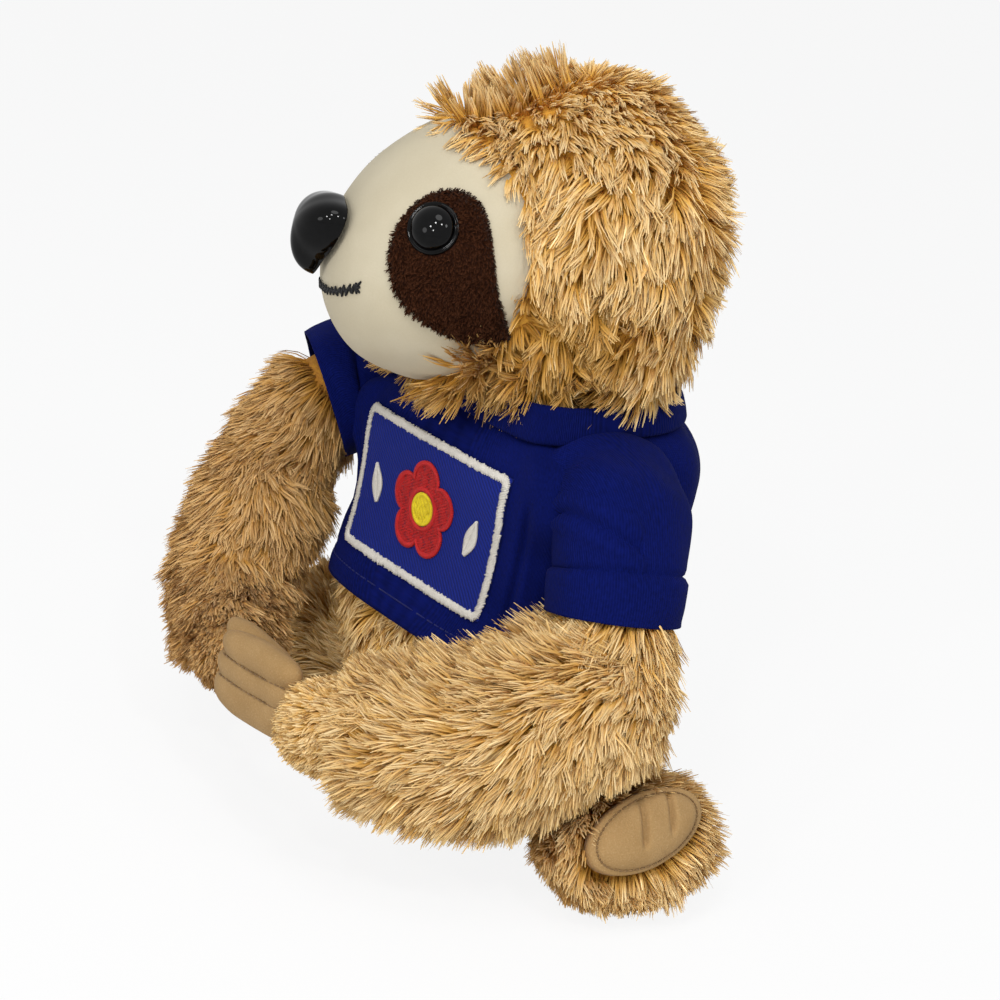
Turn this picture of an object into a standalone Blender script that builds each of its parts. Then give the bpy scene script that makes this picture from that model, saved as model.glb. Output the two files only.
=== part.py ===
"""Plush sloth sitting with its hands held together, in a small knitted T-shirt.

The sloth faces -Y, its left side is +X and +Z is up. The origin lies on the
floor under the seat. All sizes are in metres.
"""
import math

import bmesh
import bpy
from mathutils import Matrix, Vector

# Clearances
GAP = 0.0003
JOINT_GAP = 0.0005
SEAM_GAP = 0.0007
FLOOR_CUT = 0.0005
OVERRUN = 0.02

# Cloth thicknesses
FUR_CLOTH = 0.0012
FACE_CLOTH = 0.0012
SHIRT_CLOTH = 0.0010
FELT = 0.0008
PAD_CLOTH = 0.0009

# Body
BODY_HEIGHT = 0.105
BODY_HALF_WIDTH = 0.0365
BODY_HALF_DEPTH = 0.031
BODY_LEAN = 0.0096
SEAT_BACK = 0.006
POUCH_RADIUS = 0.0150
POUCH_HEIGHT = 0.016

# Neck
NECK_RADIUS = 0.018
NECK_UP = 0.106
NECK_BACK = 0.0155
HEAD_LIFT = 0.0030

# Head: the seam is the circle where the face panel meets the fur
SEAM_SIDE = -0.0068
SEAM_FORWARD = 0.0037
SEAM_UP = 0.1385
SEAM_RADIUS = 0.033
HEAD_RADIUS = 0.0395
HEAD_RISE = 0.0078
HEAD_TURN_DEG = -22.0
HEAD_TILT_DEG = 9.0
FACE_DEPTH = 0.0379
FACE_DROOP = 0.009

# Face details
EYE_RADIUS = 0.006
EYE_HEIGHT = 0.0042
EYE_RIM = 0.0008
SHANK_RADIUS = 0.0016
SHANK_LENGTH = 0.0085
WASHER_RADIUS = 0.0050
WASHER_THICKNESS = 0.0010
NOSE_HALF_WIDTH = 0.0088
NOSE_HALF_HEIGHT = 0.0094
NOSE_DEPTH = 0.0086
NOSE_BACK = 0.0006
MOUTH_HALF_WIDTH = 0.0155
MOUTH_THREAD = 0.0006

# Shirt
SHIRT_HEM_UP = 0.051
COLLAR_UP = 0.0985
COLLAR_HEIGHT = 0.0085
COLLAR_CLOTH = 0.0018
COLLAR_SPREAD = 0.0012
SHIRT_ROOM = 0.0008

# Chest patch
PATCH_WIDTH = 0.055
PATCH_HEIGHT = 0.0345
PATCH_UP = 0.0775
PATCH_CLOTH = 0.0009
THREAD_RELIEF = 0.0007
BORDER_WIDTH = 0.0024
FLOWER_RADIUS = 0.0118
FLOWER_CENTRE_RADIUS = 0.0040
LEAF_LENGTH = 0.0095
LEAF_WIDTH = 0.0046
LEAF_OUT = 0.0190

# Arms: the places of the shoulders, elbows and wrists
SHOULDER_OUT = 0.0430
SHOULDER_BACK = 0.0050
SHOULDER_UP = 0.0930
SHOULDER_RADIUS = 0.0120
SHOULDER_HALF_WIDTH = 0.0150
RIGHT_SHOULDER_HALF_WIDTH = 0.0125
LEFT_ELBOW_OUT = 0.0570
LEFT_ELBOW_FORWARD = 0.0070
LEFT_ELBOW_DROP = 0.0440
RIGHT_ELBOW_OUT = 0.0560
RIGHT_ELBOW_FORWARD = 0.0250
RIGHT_ELBOW_DROP = 0.0280
ELBOW_RADIUS = 0.0165
UPPER_ARM_RADIUS = 0.0120
FOREARM_RADIUS = 0.0165
WRIST_RADIUS = 0.0122
RIGHT_FOREARM_RADIUS = 0.0155
LEFT_WRIST_OUT = 0.0240
LEFT_WRIST_BACK = 0.0010
LEFT_WRIST_UP = 0.0385
RIGHT_WRIST_OUT = 0.0300
RIGHT_WRIST_BACK = 0.0070
RIGHT_WRIST_UP = 0.0330
LEFT_FOREARM_SAG = 0.0050
LEFT_FOREARM_BOW = 0.0040
RIGHT_FOREARM_SAG = 0.0070
RIGHT_ARM_REACH = 0.0100
SHOULDER_LIFT_DEG = 70.0

# Hands: two suede mitts, palm to palm
PALM_FORWARD = 0.0573
MITT_HALF_LENGTH = 0.0172
MITT_HALF_THICKNESS = 0.0036
MITT_FLAT = 0.0007
LEFT_MITT_SIDE = 0.0010
LEFT_MITT_UP = 0.0400
RIGHT_MITT_SIDE = -0.0110
RIGHT_MITT_UP = 0.0350
MITT_SLOPE_DEG = 5.0
PALM_PAD_LENGTH = 0.0100
PALM_PAD_WIDTH = 0.0090
PALM_PAD_SIDE = -0.0060
PALM_PAD_UP = 0.0370

# Legs and soles
HIP_OUT = 0.0290
HIP_BACK = 0.0060
HIP_UP = 0.0140
HIP_RADIUS = 0.0120
FOOT_OUT = 0.0600
FOOT_FORWARD = -0.0015
FOOT_HALF_HEIGHT = 0.0162
FOOT_HALF_WIDTH = 0.0210
LEG_WAIST = 0.0012
SOLE_HALF_LENGTH = 0.0165
SOLE_HALF_WIDTH = 0.0108
SOLE_HALF_THICKNESS = 0.0045
SOLE_REACH = 0.0143
LEG_SWING = 0.0060
SOLE_ROLL_DEG = 26.0

# Counts
BODY_SEGMENTS = 24
BODY_RINGS = 16
HEAD_SEGMENTS = 24
HEAD_RINGS = 18
LIMB_SEGMENTS = 16
LIMB_RINGS = 14
LIFT_STEPS = 4
FINGER_SEGMENTS = 12
FINGER_RINGS = 8
CAP_RINGS = 4
BALL_SEGMENTS = 20
BALL_RINGS = 12
TURN_STEPS = 14

# Height, half width, half depth and lean of the body, as shares of its own sizes
body_level_shares = (
    (0.00, 0.90, 0.90, 0.00),
    (0.22, 0.98, 0.98, 0.00),
    (0.45, 1.00, 0.99, 0.06),
    (0.60, 0.96, 0.93, 0.45),
    (0.75, 0.96, 0.93, 0.66),
    (0.90, 1.00, 1.02, 0.82),
    (1.00, 1.00, 1.02, 0.86),
)
base_round_share = 0.60
base_rise_share = 0.70
top_round_share = 0.40
top_rise_share = 0.45
head_square_share = 0.62
head_depth_share = 0.835
head_rise_end_share = 0.16

# How far the fur comes over the face at the top and chin, as shares of a right angle
seam_top_share = 0.27
seam_chin_share = 0.17
seam_bend_share = 2.4
seam_arc_share = 0.65

# Each finger of a mitt: its place across the palm, half length and half width, as
# shares of the mitt's half length
finger_shares = (
    (0.372, 0.901, 0.233),
    (0.058, 1.000, 0.256),
    (-0.302, 1.035, 0.326),
)

# Places on the face, as shares of a right angle from the muzzle's tip and of a half turn
eye_polar_share = 0.62
eye_turn_share = 0.130
nose_polar_share = 0.08
patch_centre_shares = (0.665, 0.010)
patch_size_shares = (0.47, 0.200)
patch_slant_share = 0.394
patch_taper_share = 0.28
mouth_drop_share = 0.220
mouth_smile_share = 0.70
armhole_share = 0.72
left_sleeve_end_share = 0.52
right_sleeve_end_share = 0.43
sole_facing = (0.85, -0.20, 0.45)

CREAM = (0.80, 0.76, 0.64)
FUR = (0.72, 0.50, 0.22)
FUR_SHADE = (0.66, 0.45, 0.20)
FELT_BROWN = (0.055, 0.022, 0.012)
GLOSS_BLACK = (0.006, 0.006, 0.007)
SUEDE = (0.45, 0.31, 0.15)
SHIRT_BLUE = (0.010, 0.014, 0.16)
PATCH_BLUE = (0.014, 0.018, 0.20)
THREAD_WHITE = (0.70, 0.68, 0.66)
THREAD_RED = (0.52, 0.015, 0.015)
THREAD_YELLOW = (0.80, 0.62, 0.02)
FIBRE_WHITE = (0.86, 0.86, 0.84)
WASHER_GREY = (0.62, 0.62, 0.60)
LINING = (0.55, 0.50, 0.42)
HOOK_TAN = (0.38, 0.27, 0.14)

for old in list(bpy.data.objects):
    bpy.data.objects.remove(old, do_unlink=True)

parts = bpy.data.collections.new("plush_sloth")
bpy.context.scene.collection.children.link(parts)
cutters = bpy.data.collections.new("cutters")
bpy.context.scene.collection.children.link(cutters)


def signed_power(value, power):
    """Raise the size of a number to a power and keep its sign."""
    return math.copysign(abs(value) ** power, value)


def material(name, colour, roughness):
    """Make the plain material of one piece."""
    made = bpy.data.materials.new(name + "_material")
    made.use_nodes = True
    shader = made.node_tree.nodes["Principled BSDF"]
    shader.inputs["Base Color"].default_value = (*colour, 1)
    shader.inputs["Roughness"].default_value = roughness
    shader.inputs["Metallic"].default_value = 0
    return made


def place(name, mesh_tool, colour, roughness, matrix=None):
    """Turn a finished bmesh into a named object of the sloth."""
    mesh_tool.normal_update()
    bmesh.ops.recalc_face_normals(mesh_tool, faces=mesh_tool.faces)
    mesh = bpy.data.meshes.new(name)
    mesh_tool.to_mesh(mesh)
    mesh_tool.free()
    mesh.shade_smooth()
    piece = bpy.data.objects.new(name, mesh)
    piece.data.materials.append(material(name, colour, roughness))
    if matrix is not None:
        piece.matrix_world = matrix
    parts.objects.link(piece)
    return piece


def place_cutter(name, mesh_tool, matrix=None):
    """Turn a finished bmesh into a cutter, which only shapes other pieces."""
    mesh_tool.normal_update()
    bmesh.ops.recalc_face_normals(mesh_tool, faces=mesh_tool.faces)
    mesh = bpy.data.meshes.new(name)
    mesh_tool.to_mesh(mesh)
    mesh_tool.free()
    cutter = bpy.data.objects.new(name, mesh)
    if matrix is not None:
        cutter.matrix_world = matrix
    cutter.hide_render = True
    cutter.display_type = "WIRE"
    cutters.objects.link(cutter)
    return cutter


def cut(piece, cutter, operation="DIFFERENCE"):
    """Cut a piece with a cutter, or join the cutter to it."""
    boolean = piece.modifiers.new(cutter.name, "BOOLEAN")
    boolean.operation = operation
    boolean.object = cutter
    boolean.solver = "EXACT"


def wall(piece, thickness, offset):
    """Give an open or closed surface its cloth thickness."""
    solidify = piece.modifiers.new("cloth", "SOLIDIFY")
    solidify.thickness = thickness
    solidify.offset = offset
    solidify.use_even_offset = True


def unit_ball(segments, rings):
    """Return a unit ball with its poles on Z."""
    ball = bmesh.new()
    bmesh.ops.create_uvsphere(ball, u_segments=segments, v_segments=rings, radius=1)
    return ball


def swell(mesh_tool, distance):
    """Move every point out along its normal, or in when the distance is negative."""
    mesh_tool.normal_update()
    bmesh.ops.recalc_face_normals(mesh_tool, faces=mesh_tool.faces)
    mesh_tool.normal_update()
    moves = [vertex.normal.copy() * distance for vertex in mesh_tool.verts]
    for vertex, move in zip(mesh_tool.verts, moves):
        vertex.co += move


def ball_cutter(name, centre, radius):
    """Make a round cutter, for a joint's hollow."""
    ball = unit_ball(BALL_SEGMENTS, BALL_RINGS)
    bmesh.ops.scale(ball, vec=(radius, radius, radius), verts=ball.verts)
    return place_cutter(name, ball, Matrix.Translation(centre))


def box_cutter(name, low, high):
    """Make a box cutter between two corners."""
    box = bmesh.new()
    bmesh.ops.create_cube(box, size=1)
    size = [high[axis] - low[axis] for axis in range(3)]
    middle = [(high[axis] + low[axis]) / 2 for axis in range(3)]
    bmesh.ops.scale(box, vec=size, verts=box.verts)
    bmesh.ops.translate(box, vec=middle, verts=box.verts)
    return place_cutter(name, box)


def box_along(name, frame, low, high):
    """Make a wide box cutter between two heights of a frame."""
    box = bmesh.new()
    bmesh.ops.create_cube(box, size=1)
    bmesh.ops.scale(box, vec=(OVERRUN * 4, OVERRUN * 4, high - low), verts=box.verts)
    bmesh.ops.translate(box, vec=(0, 0, (high + low) / 2), verts=box.verts)
    return place_cutter(name, box, frame)


def look_along(origin, direction, up=(0, 0, 1)):
    """Return a frame at the origin whose Z points along the direction and whose Y leans up."""
    forward = Vector(direction).normalized()
    side = Vector(up).cross(forward).normalized()
    upward = forward.cross(side)
    turn = Matrix((side, upward, forward)).transposed().to_4x4()
    return Matrix.Translation(origin) @ turn


# Body
def between_levels(height_share):
    """Blend the body's size rows smoothly at one height share."""
    rows = body_level_shares
    height_share = min(max(height_share, rows[0][0]), rows[-1][0])
    for index in range(len(rows) - 1):
        low = rows[index]
        high = rows[index + 1]
        if height_share <= high[0]:
            break
    step = (height_share - low[0]) / (high[0] - low[0])
    before = rows[max(index - 1, 0)]
    after = rows[min(index + 2, len(rows) - 1)]
    values = []
    for column in (1, 2, 3):
        slope_low = (high[column] - before[column]) / (high[0] - before[0])
        slope_high = (after[column] - low[column]) / (after[0] - low[0])
        span = high[0] - low[0]
        square = step * step
        cube = square * step
        values.append(
            (2 * cube - 3 * square + 1) * low[column]
            + (cube - 2 * square + step) * slope_low * span
            + (3 * square - 2 * cube) * high[column]
            + (cube - square) * slope_high * span
        )
    return values


def body_section(up):
    """Return half width, half depth and the middle's Y of the body at one height."""
    width, depth, lean = between_levels(up / BODY_HEIGHT)
    return width * BODY_HALF_WIDTH, depth * BODY_HALF_DEPTH, SEAT_BACK + lean * BODY_LEAN


def body_power(up, front):
    """Return how square the body's section is: the chest is flatter than the back."""
    rise = min(max((up / BODY_HEIGHT - 0.35) / 0.25, 0), 1)
    flat = 5.5 if front else 2.8
    return 2.3 + (flat - 2.3) * rise * rise * (3 - 2 * rise)


def body_rise_and_reach(polar):
    """Return the height share and the width share at an angle up from the base."""
    upper = polar > math.pi / 2
    rise_share = top_rise_share if upper else base_rise_share
    round_share = top_round_share if upper else base_round_share
    rise = (1 - signed_power(math.cos(polar), rise_share)) / 2
    return rise, math.sin(polar) ** round_share


def body_reach(up):
    """Return the width share at a height, the inverse of the rise above."""
    rise = (up + FLOOR_CUT) / (BODY_HEIGHT + FLOOR_CUT)
    rise_share = top_rise_share if rise > 0.5 else base_rise_share
    polar = math.acos(signed_power(1 - 2 * min(max(rise, 0), 1), 1 / rise_share))
    return body_rise_and_reach(polar)[1]


def body_point(polar, turn):
    """Return the body's surface at an angle up from its base and round its middle."""
    rise, reach = body_rise_and_reach(polar)
    up = rise * (BODY_HEIGHT + FLOOR_CUT) - FLOOR_CUT
    half_width, half_depth, middle = body_section(max(up, 0))
    power = 2 / body_power(up, math.sin(turn) < 0)
    side = half_width * reach * signed_power(math.cos(turn), power)
    back = middle + half_depth * reach * signed_power(math.sin(turn), power)
    return Vector((side, back, up))


def body_mesh():
    """Return the closed outer surface of the body."""
    ball = unit_ball(BODY_SEGMENTS, BODY_RINGS)
    for vertex in ball.verts:
        polar = math.pi - math.acos(min(max(vertex.co.z, -1), 1))
        turn = math.atan2(vertex.co.y, vertex.co.x)
        vertex.co = body_point(min(max(polar, 0), math.pi), turn)
    return ball


def chest_front(side, up, proud):
    """Return the Y of the chest at a place, standing proud of the body by a distance."""
    half_width, half_depth, middle = body_section(up)
    power = body_power(up, True)
    reach = body_reach(up)
    share = min(abs(side) / (half_width * reach + proud), 1)
    return middle - (half_depth * reach + proud) * (1 - share ** power) ** (1 / power)


SHOULDERS = {
    "left": Vector((SHOULDER_OUT, SHOULDER_BACK, SHOULDER_UP)),
    "right": Vector((-SHOULDER_OUT, SHOULDER_BACK, SHOULDER_UP)),
}
HIPS = {
    "left": Vector((HIP_OUT, HIP_BACK, HIP_UP)),
    "right": Vector((-HIP_OUT, HIP_BACK, HIP_UP)),
}
NECK = Vector((0, NECK_BACK, NECK_UP))

floor_cutter = box_cutter("floor", (-1, -1, -1), (1, 1, 0))
neck_cutter = ball_cutter("neck_hollow", NECK, NECK_RADIUS + JOINT_GAP)

body_cover = place("body_cover", body_mesh(), FUR, 0.95)
wall(body_cover, FUR_CLOTH, -1)
cut(body_cover, floor_cutter)
cut(body_cover, neck_cutter)

filling = body_mesh()
swell(filling, -(FUR_CLOTH + GAP))
body_stuffing = place("body_stuffing", filling, FIBRE_WHITE, 0.95)
cut(body_stuffing, neck_cutter)

pouch_middle = FUR_CLOTH - FLOOR_CUT + GAP + POUCH_HEIGHT / 2


def pouch_mesh(clearance):
    """Return the flat round bag of pellets, or the hollow that it lies in."""
    ball = unit_ball(LIMB_SEGMENTS, LIMB_RINGS)
    radius = POUCH_RADIUS + clearance
    height = POUCH_HEIGHT / 2 + clearance
    for vertex in ball.verts:
        spread = math.hypot(vertex.co.x, vertex.co.y)
        grow = spread ** base_round_share / spread if spread > 0 else 0
        rise = signed_power(vertex.co.z, base_rise_share)
        vertex.co = Vector((vertex.co.x * grow * radius, vertex.co.y * grow * radius, rise * height))
    bmesh.ops.translate(ball, vec=(0, SEAT_BACK, pouch_middle), verts=ball.verts)
    return ball


place("bean_pouch", pouch_mesh(0), LINING, 0.9)
cut(body_stuffing, place_cutter("pouch_hollow", pouch_mesh(GAP + FLOOR_CUT)))

# Neck
neck_ball = unit_ball(BALL_SEGMENTS, BALL_RINGS)
bmesh.ops.scale(neck_ball, vec=(NECK_RADIUS, NECK_RADIUS, NECK_RADIUS), verts=neck_ball.verts)
place("neck", neck_ball, FUR_SHADE, 0.95, Matrix.Translation(NECK))

# Head
head_frame = (
    Matrix.Translation((SEAM_SIDE, -SEAM_FORWARD, SEAM_UP))
    @ Matrix.Rotation(math.radians(HEAD_TURN_DEG), 4, "Z")
    @ Matrix.Rotation(-math.radians(HEAD_TILT_DEG), 4, "X")
)
SEAM_ANGLE = math.asin(SEAM_RADIUS / HEAD_RADIUS)


def face_point(polar, turn):
    """Return the face panel's surface in the head's frame, from the muzzle's tip outward."""
    forward = FACE_DEPTH * math.cos(polar) ** 0.92
    radius = SEAM_RADIUS * math.sin(polar) ** 0.96
    droop = FACE_DROOP * (forward / FACE_DEPTH) ** 1.3
    return Vector((radius * math.cos(turn), -forward, radius * math.sin(turn) - droop))


def face_normal(polar, turn):
    """Return the outward direction of the face panel at a place."""
    step = 0.01
    middle = face_point(polar, turn)
    along = face_point(polar + step, turn) - middle
    around = face_point(polar, turn + step) - middle
    normal = around.cross(along).normalized()
    return normal if normal.dot(middle - Vector((0, 0, 0))) > 0 else -normal


def seam_reach(turn):
    """Return how far the fur comes over the face at an angle: most at the top of the head."""
    rise = math.sin(turn)
    most = seam_top_share if rise > 0 else seam_chin_share
    return most * abs(rise) ** seam_bend_share


def fur_head_point(place_share, turn):
    """Return the furry head in the head's frame, from the seam (0) to the back pole (1)."""
    over = seam_reach(turn) * seam_arc_share
    share = place_share * (1 + over) - over
    ease = min((share + over) / (head_rise_end_share + over / 4), 1)
    ease = ease * ease * (3 - 2 * ease)
    if share < 0:
        spot = face_point(math.pi / 2 * (1 + share / seam_arc_share), turn)
        return spot + Vector((0, 0, HEAD_RISE * ease))
    polar = SEAM_ANGLE + (math.pi - SEAM_ANGLE) * share
    low = (1 - math.sin(turn)) / 2
    square = 1 - (1 - head_square_share) * min(share / head_rise_end_share, 1) * low
    back = HEAD_RADIUS * head_depth_share * (math.cos(SEAM_ANGLE) - signed_power(math.cos(polar), square))
    radius = HEAD_RADIUS * math.sin(polar) ** square
    side = radius * signed_power(math.cos(turn), square)
    return Vector((side, back, radius * signed_power(math.sin(turn), square) + HEAD_RISE * ease))


def head_mesh(front, rear):
    """Return the head's surface: the face panel, the fur cover or both as one closed form."""
    ball = unit_ball(HEAD_SEGMENTS, HEAD_RINGS)
    tiny = 1e-4
    if not rear:
        gone = [face for face in ball.faces if face.calc_center_median().z < 0]
        bmesh.ops.delete(ball, geom=gone, context="FACES")
    if not front:
        gone = [face for face in ball.faces if face.calc_center_median().z > 0]
        bmesh.ops.delete(ball, geom=gone, context="FACES")
    for vertex in ball.verts:
        polar = math.acos(min(max(vertex.co.z, -1), 1))
        turn = math.atan2(vertex.co.y, vertex.co.x)
        if polar > math.pi / 2 + tiny or not front:
            share = max(polar / (math.pi / 2) - 1, 0)
            vertex.co = fur_head_point(share, turn)
            if not front:
                vertex.co.y += SEAM_GAP / 2
        else:
            vertex.co = face_point(min(polar, math.pi / 2) * (1 - seam_reach(turn)), turn)
            if not rear:
                vertex.co.y -= SEAM_GAP / 2
    return ball


head_bottom = box_cutter("head_bottom", (-1, -1, NECK_UP - 1), (1, 1, NECK_UP + HEAD_LIFT))
head_neck = ball_cutter("head_neck_hollow", NECK, NECK_RADIUS + JOINT_GAP)

head_cover = place("head_cover", head_mesh(False, True), FUR, 0.95, head_frame)
wall(head_cover, FUR_CLOTH, -1)
cut(head_cover, head_bottom)

face_panel = place("face_panel", head_mesh(True, False), CREAM, 0.85, head_frame)
wall(face_panel, FACE_CLOTH, -1)

head_filling = head_mesh(True, True)
swell(head_filling, -(FUR_CLOTH + 3 * GAP))
head_stuffing = place("head_stuffing", head_filling, FIBRE_WHITE, 0.95, head_frame)
cut(head_stuffing, head_bottom)
cut(head_stuffing, head_neck)


def face_frame(polar, turn, lift):
    """Return a frame on the face whose Z points out, lifted off the cloth by a distance."""
    spot = head_frame @ face_point(polar, turn)
    normal = head_frame.to_3x3() @ face_normal(polar, turn)
    return look_along(spot + normal * lift, normal)


def disc_cutter(name, frame, radius, low, high):
    """Make a round bar cutter along a frame's Z."""
    bar = bmesh.new()
    bmesh.ops.create_cone(
        bar, cap_ends=True, segments=TURN_STEPS, radius1=radius, radius2=radius, depth=high - low
    )
    bmesh.ops.translate(bar, vec=(0, 0, (high + low) / 2), verts=bar.verts)
    return place_cutter(name, bar, frame)


def turned(name, outline, colour, roughness, frame, ring=False):
    """Turn an outline, given bottom to top up its outer side, round a frame's Z."""
    mesh = bpy.data.meshes.new(name)
    points = [(radius, 0, height) for radius, height in outline]
    edges = [(index, index + 1) for index in range(len(points) - 1)]
    if ring:
        edges.append((len(points) - 1, 0))
    mesh.from_pydata(points, edges, [])
    piece = bpy.data.objects.new(name, mesh)
    piece.matrix_world = frame
    piece.data.materials.append(material(name, colour, roughness))
    screw = piece.modifiers.new("turn", "SCREW")
    screw.steps = TURN_STEPS
    screw.render_steps = TURN_STEPS
    screw.use_merge_vertices = True
    screw.merge_threshold = 1e-5
    screw.use_normal_calculate = True
    screw.use_normal_flip = ring
    parts.objects.link(piece)
    return piece


washer_drop = FACE_CLOTH + GAP + FELT
pocket_depth = SHANK_LENGTH + FACE_CLOTH + 2 * GAP
eye_lift = GAP


def eye_outline():
    """Return the turned outline of an eye: a glossy dome, its rim and its shank."""
    steps = 6
    inner = EYE_RADIUS - EYE_RIM
    outline = []
    for index in range(steps):
        angle = math.pi / 2 * index / (steps - 1)
        outline.append((inner * math.sin(angle), EYE_RIM + (EYE_HEIGHT - EYE_RIM) * math.cos(angle)))
    outline[0] = (0, EYE_HEIGHT)
    outline.append((EYE_RADIUS, EYE_RIM * 0.7))
    outline.append((EYE_RADIUS, 0))
    outline.append((SHANK_RADIUS, 0))
    outline.append((SHANK_RADIUS, -SHANK_LENGTH))
    outline.append((0, -SHANK_LENGTH))
    outline.reverse()
    return outline


def ring_outline(inner, outer, thickness):
    """Return the closed outline of a flat ring, from its bottom inner edge."""
    return (
        (inner, -thickness / 2),
        (outer, -thickness / 2),
        (outer, thickness / 2),
        (inner, thickness / 2),
    )


def patch_chart(side, across, along):
    """Turn a place on the eye patch's oval into polar and turn angles on the face."""
    slant = -math.pi * patch_slant_share
    narrow = 1 - patch_taper_share * along
    flat_side = patch_size_shares[1] * narrow * across
    flat_along = patch_size_shares[0] * along
    out = patch_centre_shares[0] * math.cos(math.pi * patch_centre_shares[1])
    rise = patch_centre_shares[0] * math.sin(math.pi * patch_centre_shares[1])
    out += flat_along * math.cos(slant) - flat_side * math.sin(slant)
    rise += flat_along * math.sin(slant) + flat_side * math.cos(slant)
    turn = math.atan2(rise, out)
    polar = math.hypot(out, rise) * math.pi / 2
    return polar, turn if side == "left" else math.pi - turn


def eye_patch(side):
    """Make one felt eye patch that lies on the face panel."""
    disc = bmesh.new()
    bmesh.ops.create_grid(disc, x_segments=8, y_segments=10, size=1)
    for vertex in disc.verts:
        across = vertex.co.x * math.sqrt(1 - vertex.co.y ** 2 / 2)
        along = vertex.co.y * math.sqrt(1 - vertex.co.x ** 2 / 2)
        polar, turn = patch_chart(side, across, along)
        vertex.co = face_point(polar, turn) + face_normal(polar, turn) * GAP
    centre = sum((vertex.co for vertex in disc.verts), Vector()) / len(disc.verts)
    disc.normal_update()
    bmesh.ops.recalc_face_normals(disc, faces=disc.faces)
    disc.normal_update()
    middle_face = min(disc.faces, key=lambda face: (face.calc_center_median() - centre).length)
    if middle_face.normal.dot(centre) < 0:
        bmesh.ops.reverse_faces(disc, faces=disc.faces)
    mesh = bpy.data.meshes.new(side + "_eye_patch")
    disc.to_mesh(mesh)
    disc.free()
    piece = bpy.data.objects.new(side + "_eye_patch", mesh)
    piece.data.materials.append(material(piece.name, FELT_BROWN, 0.95))
    piece.matrix_world = head_frame
    parts.objects.link(piece)
    wall(piece, FELT, 1)
    return piece


for side in ("left", "right"):
    eye_turn = math.pi * eye_turn_share
    if side == "right":
        eye_turn = math.pi - eye_turn
    eye_polar = math.pi / 2 * eye_polar_share
    frame = face_frame(eye_polar, eye_turn, 0)
    lifted = face_frame(eye_polar, eye_turn, eye_lift)
    turned(side + "_eye", eye_outline(), GLOSS_BLACK, 0.05, lifted)
    washer = face_frame(eye_polar, eye_turn, -(washer_drop + WASHER_THICKNESS / 2))
    turned(
        side + "_eye_washer",
        ring_outline(SHANK_RADIUS + GAP, WASHER_RADIUS, WASHER_THICKNESS),
        WASHER_GREY, 0.6, washer, True,
    )
    hole = disc_cutter(side + "_eye_hole", frame, SHANK_RADIUS + GAP, -OVERRUN / 2, OVERRUN / 2)
    pocket = disc_cutter(
        side + "_eye_pocket", frame, WASHER_RADIUS + GAP, -pocket_depth, OVERRUN / 2
    )
    cut(face_panel, hole)
    cut(head_stuffing, pocket)
    cut(eye_patch(side), disc_cutter(
        side + "_eye_seat", frame, EYE_RADIUS + GAP, -OVERRUN / 2, OVERRUN / 2
    ))

# Nose
nose_polar = math.pi / 2 * nose_polar_share
nose_base = face_frame(nose_polar, math.pi / 2, 0)
nose_frame = face_frame(nose_polar, math.pi / 2, GAP + NOSE_BACK)


def nose_mesh():
    """Return the nose: a domed triangle with round corners, its point down."""
    ball = unit_ball(LIMB_SEGMENTS, LIMB_RINGS)
    for vertex in ball.verts:
        turn = math.atan2(vertex.co.y, vertex.co.x)
        corner = 1 + 0.10 * math.cos(3 * (turn + math.pi / 2))
        depth = NOSE_DEPTH if vertex.co.z > 0 else NOSE_BACK
        vertex.co = Vector((
            vertex.co.x * corner * NOSE_HALF_WIDTH,
            vertex.co.y * corner * NOSE_HALF_HEIGHT,
            vertex.co.z * depth,
        ))
    return ball


nose = place("nose", nose_mesh(), GLOSS_BLACK, 0.05, nose_frame)
nose_shank = disc_cutter("nose_shank", nose_frame, SHANK_RADIUS, -SHANK_LENGTH, NOSE_DEPTH / 2)
cut(nose, nose_shank, "UNION")
cut(face_panel, disc_cutter("nose_hole", nose_base, SHANK_RADIUS + GAP, -OVERRUN / 2, OVERRUN / 2))
cut(
    head_stuffing,
    disc_cutter("nose_pocket", nose_base, WASHER_RADIUS + GAP, -pocket_depth, OVERRUN / 2),
)
turned(
    "nose_washer",
    ring_outline(SHANK_RADIUS + GAP, WASHER_RADIUS, WASHER_THICKNESS),
    WASHER_GREY, 0.6,
    face_frame(nose_polar, math.pi / 2, -(washer_drop + WASHER_THICKNESS / 2)),
    True,
)


def mouth_places():
    """Return the line of the mouth: a shallow smile under the nose."""
    places = []
    count = 9
    for index in range(count):
        share = 2 * index / (count - 1) - 1
        side_share = share * MOUTH_HALF_WIDTH / SEAM_RADIUS
        drop_share = mouth_drop_share * (1 - mouth_smile_share * share * share)
        polar = math.asin(math.hypot(side_share, drop_share))
        turn = math.atan2(-drop_share, side_share)
        normal = face_normal(polar, turn)
        spot = face_point(polar, turn) + normal * (MOUTH_THREAD + 2 * GAP)
        places.append(head_frame @ spot)
    return places


# Shirt
def shirt_mesh(low, high, clearance, rings):
    """Return the open tube of cloth round the body between two heights."""
    tube = bmesh.new()
    bmesh.ops.create_cone(
        tube, cap_ends=False, segments=BODY_SEGMENTS, radius1=1, radius2=1, depth=1
    )
    cuts = rings - 1
    uprights = [edge for edge in tube.edges if abs(edge.verts[0].co.z - edge.verts[1].co.z) > 0.5]
    bmesh.ops.subdivide_edges(tube, edges=uprights, cuts=cuts, use_grid_fill=False)
    for vertex in tube.verts:
        up = low + (high - low) * (vertex.co.z + 0.5)
        turn = math.atan2(vertex.co.y, vertex.co.x)
        half_width, half_depth, middle = body_section(up)
        reach = body_reach(up)
        power = 2 / body_power(up, math.sin(turn) < 0)
        side = (half_width * reach + clearance) * signed_power(math.cos(turn), power)
        back = middle + (half_depth * reach + clearance) * signed_power(math.sin(turn), power)
        vertex.co = Vector((side, back, up))
    return tube


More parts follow.
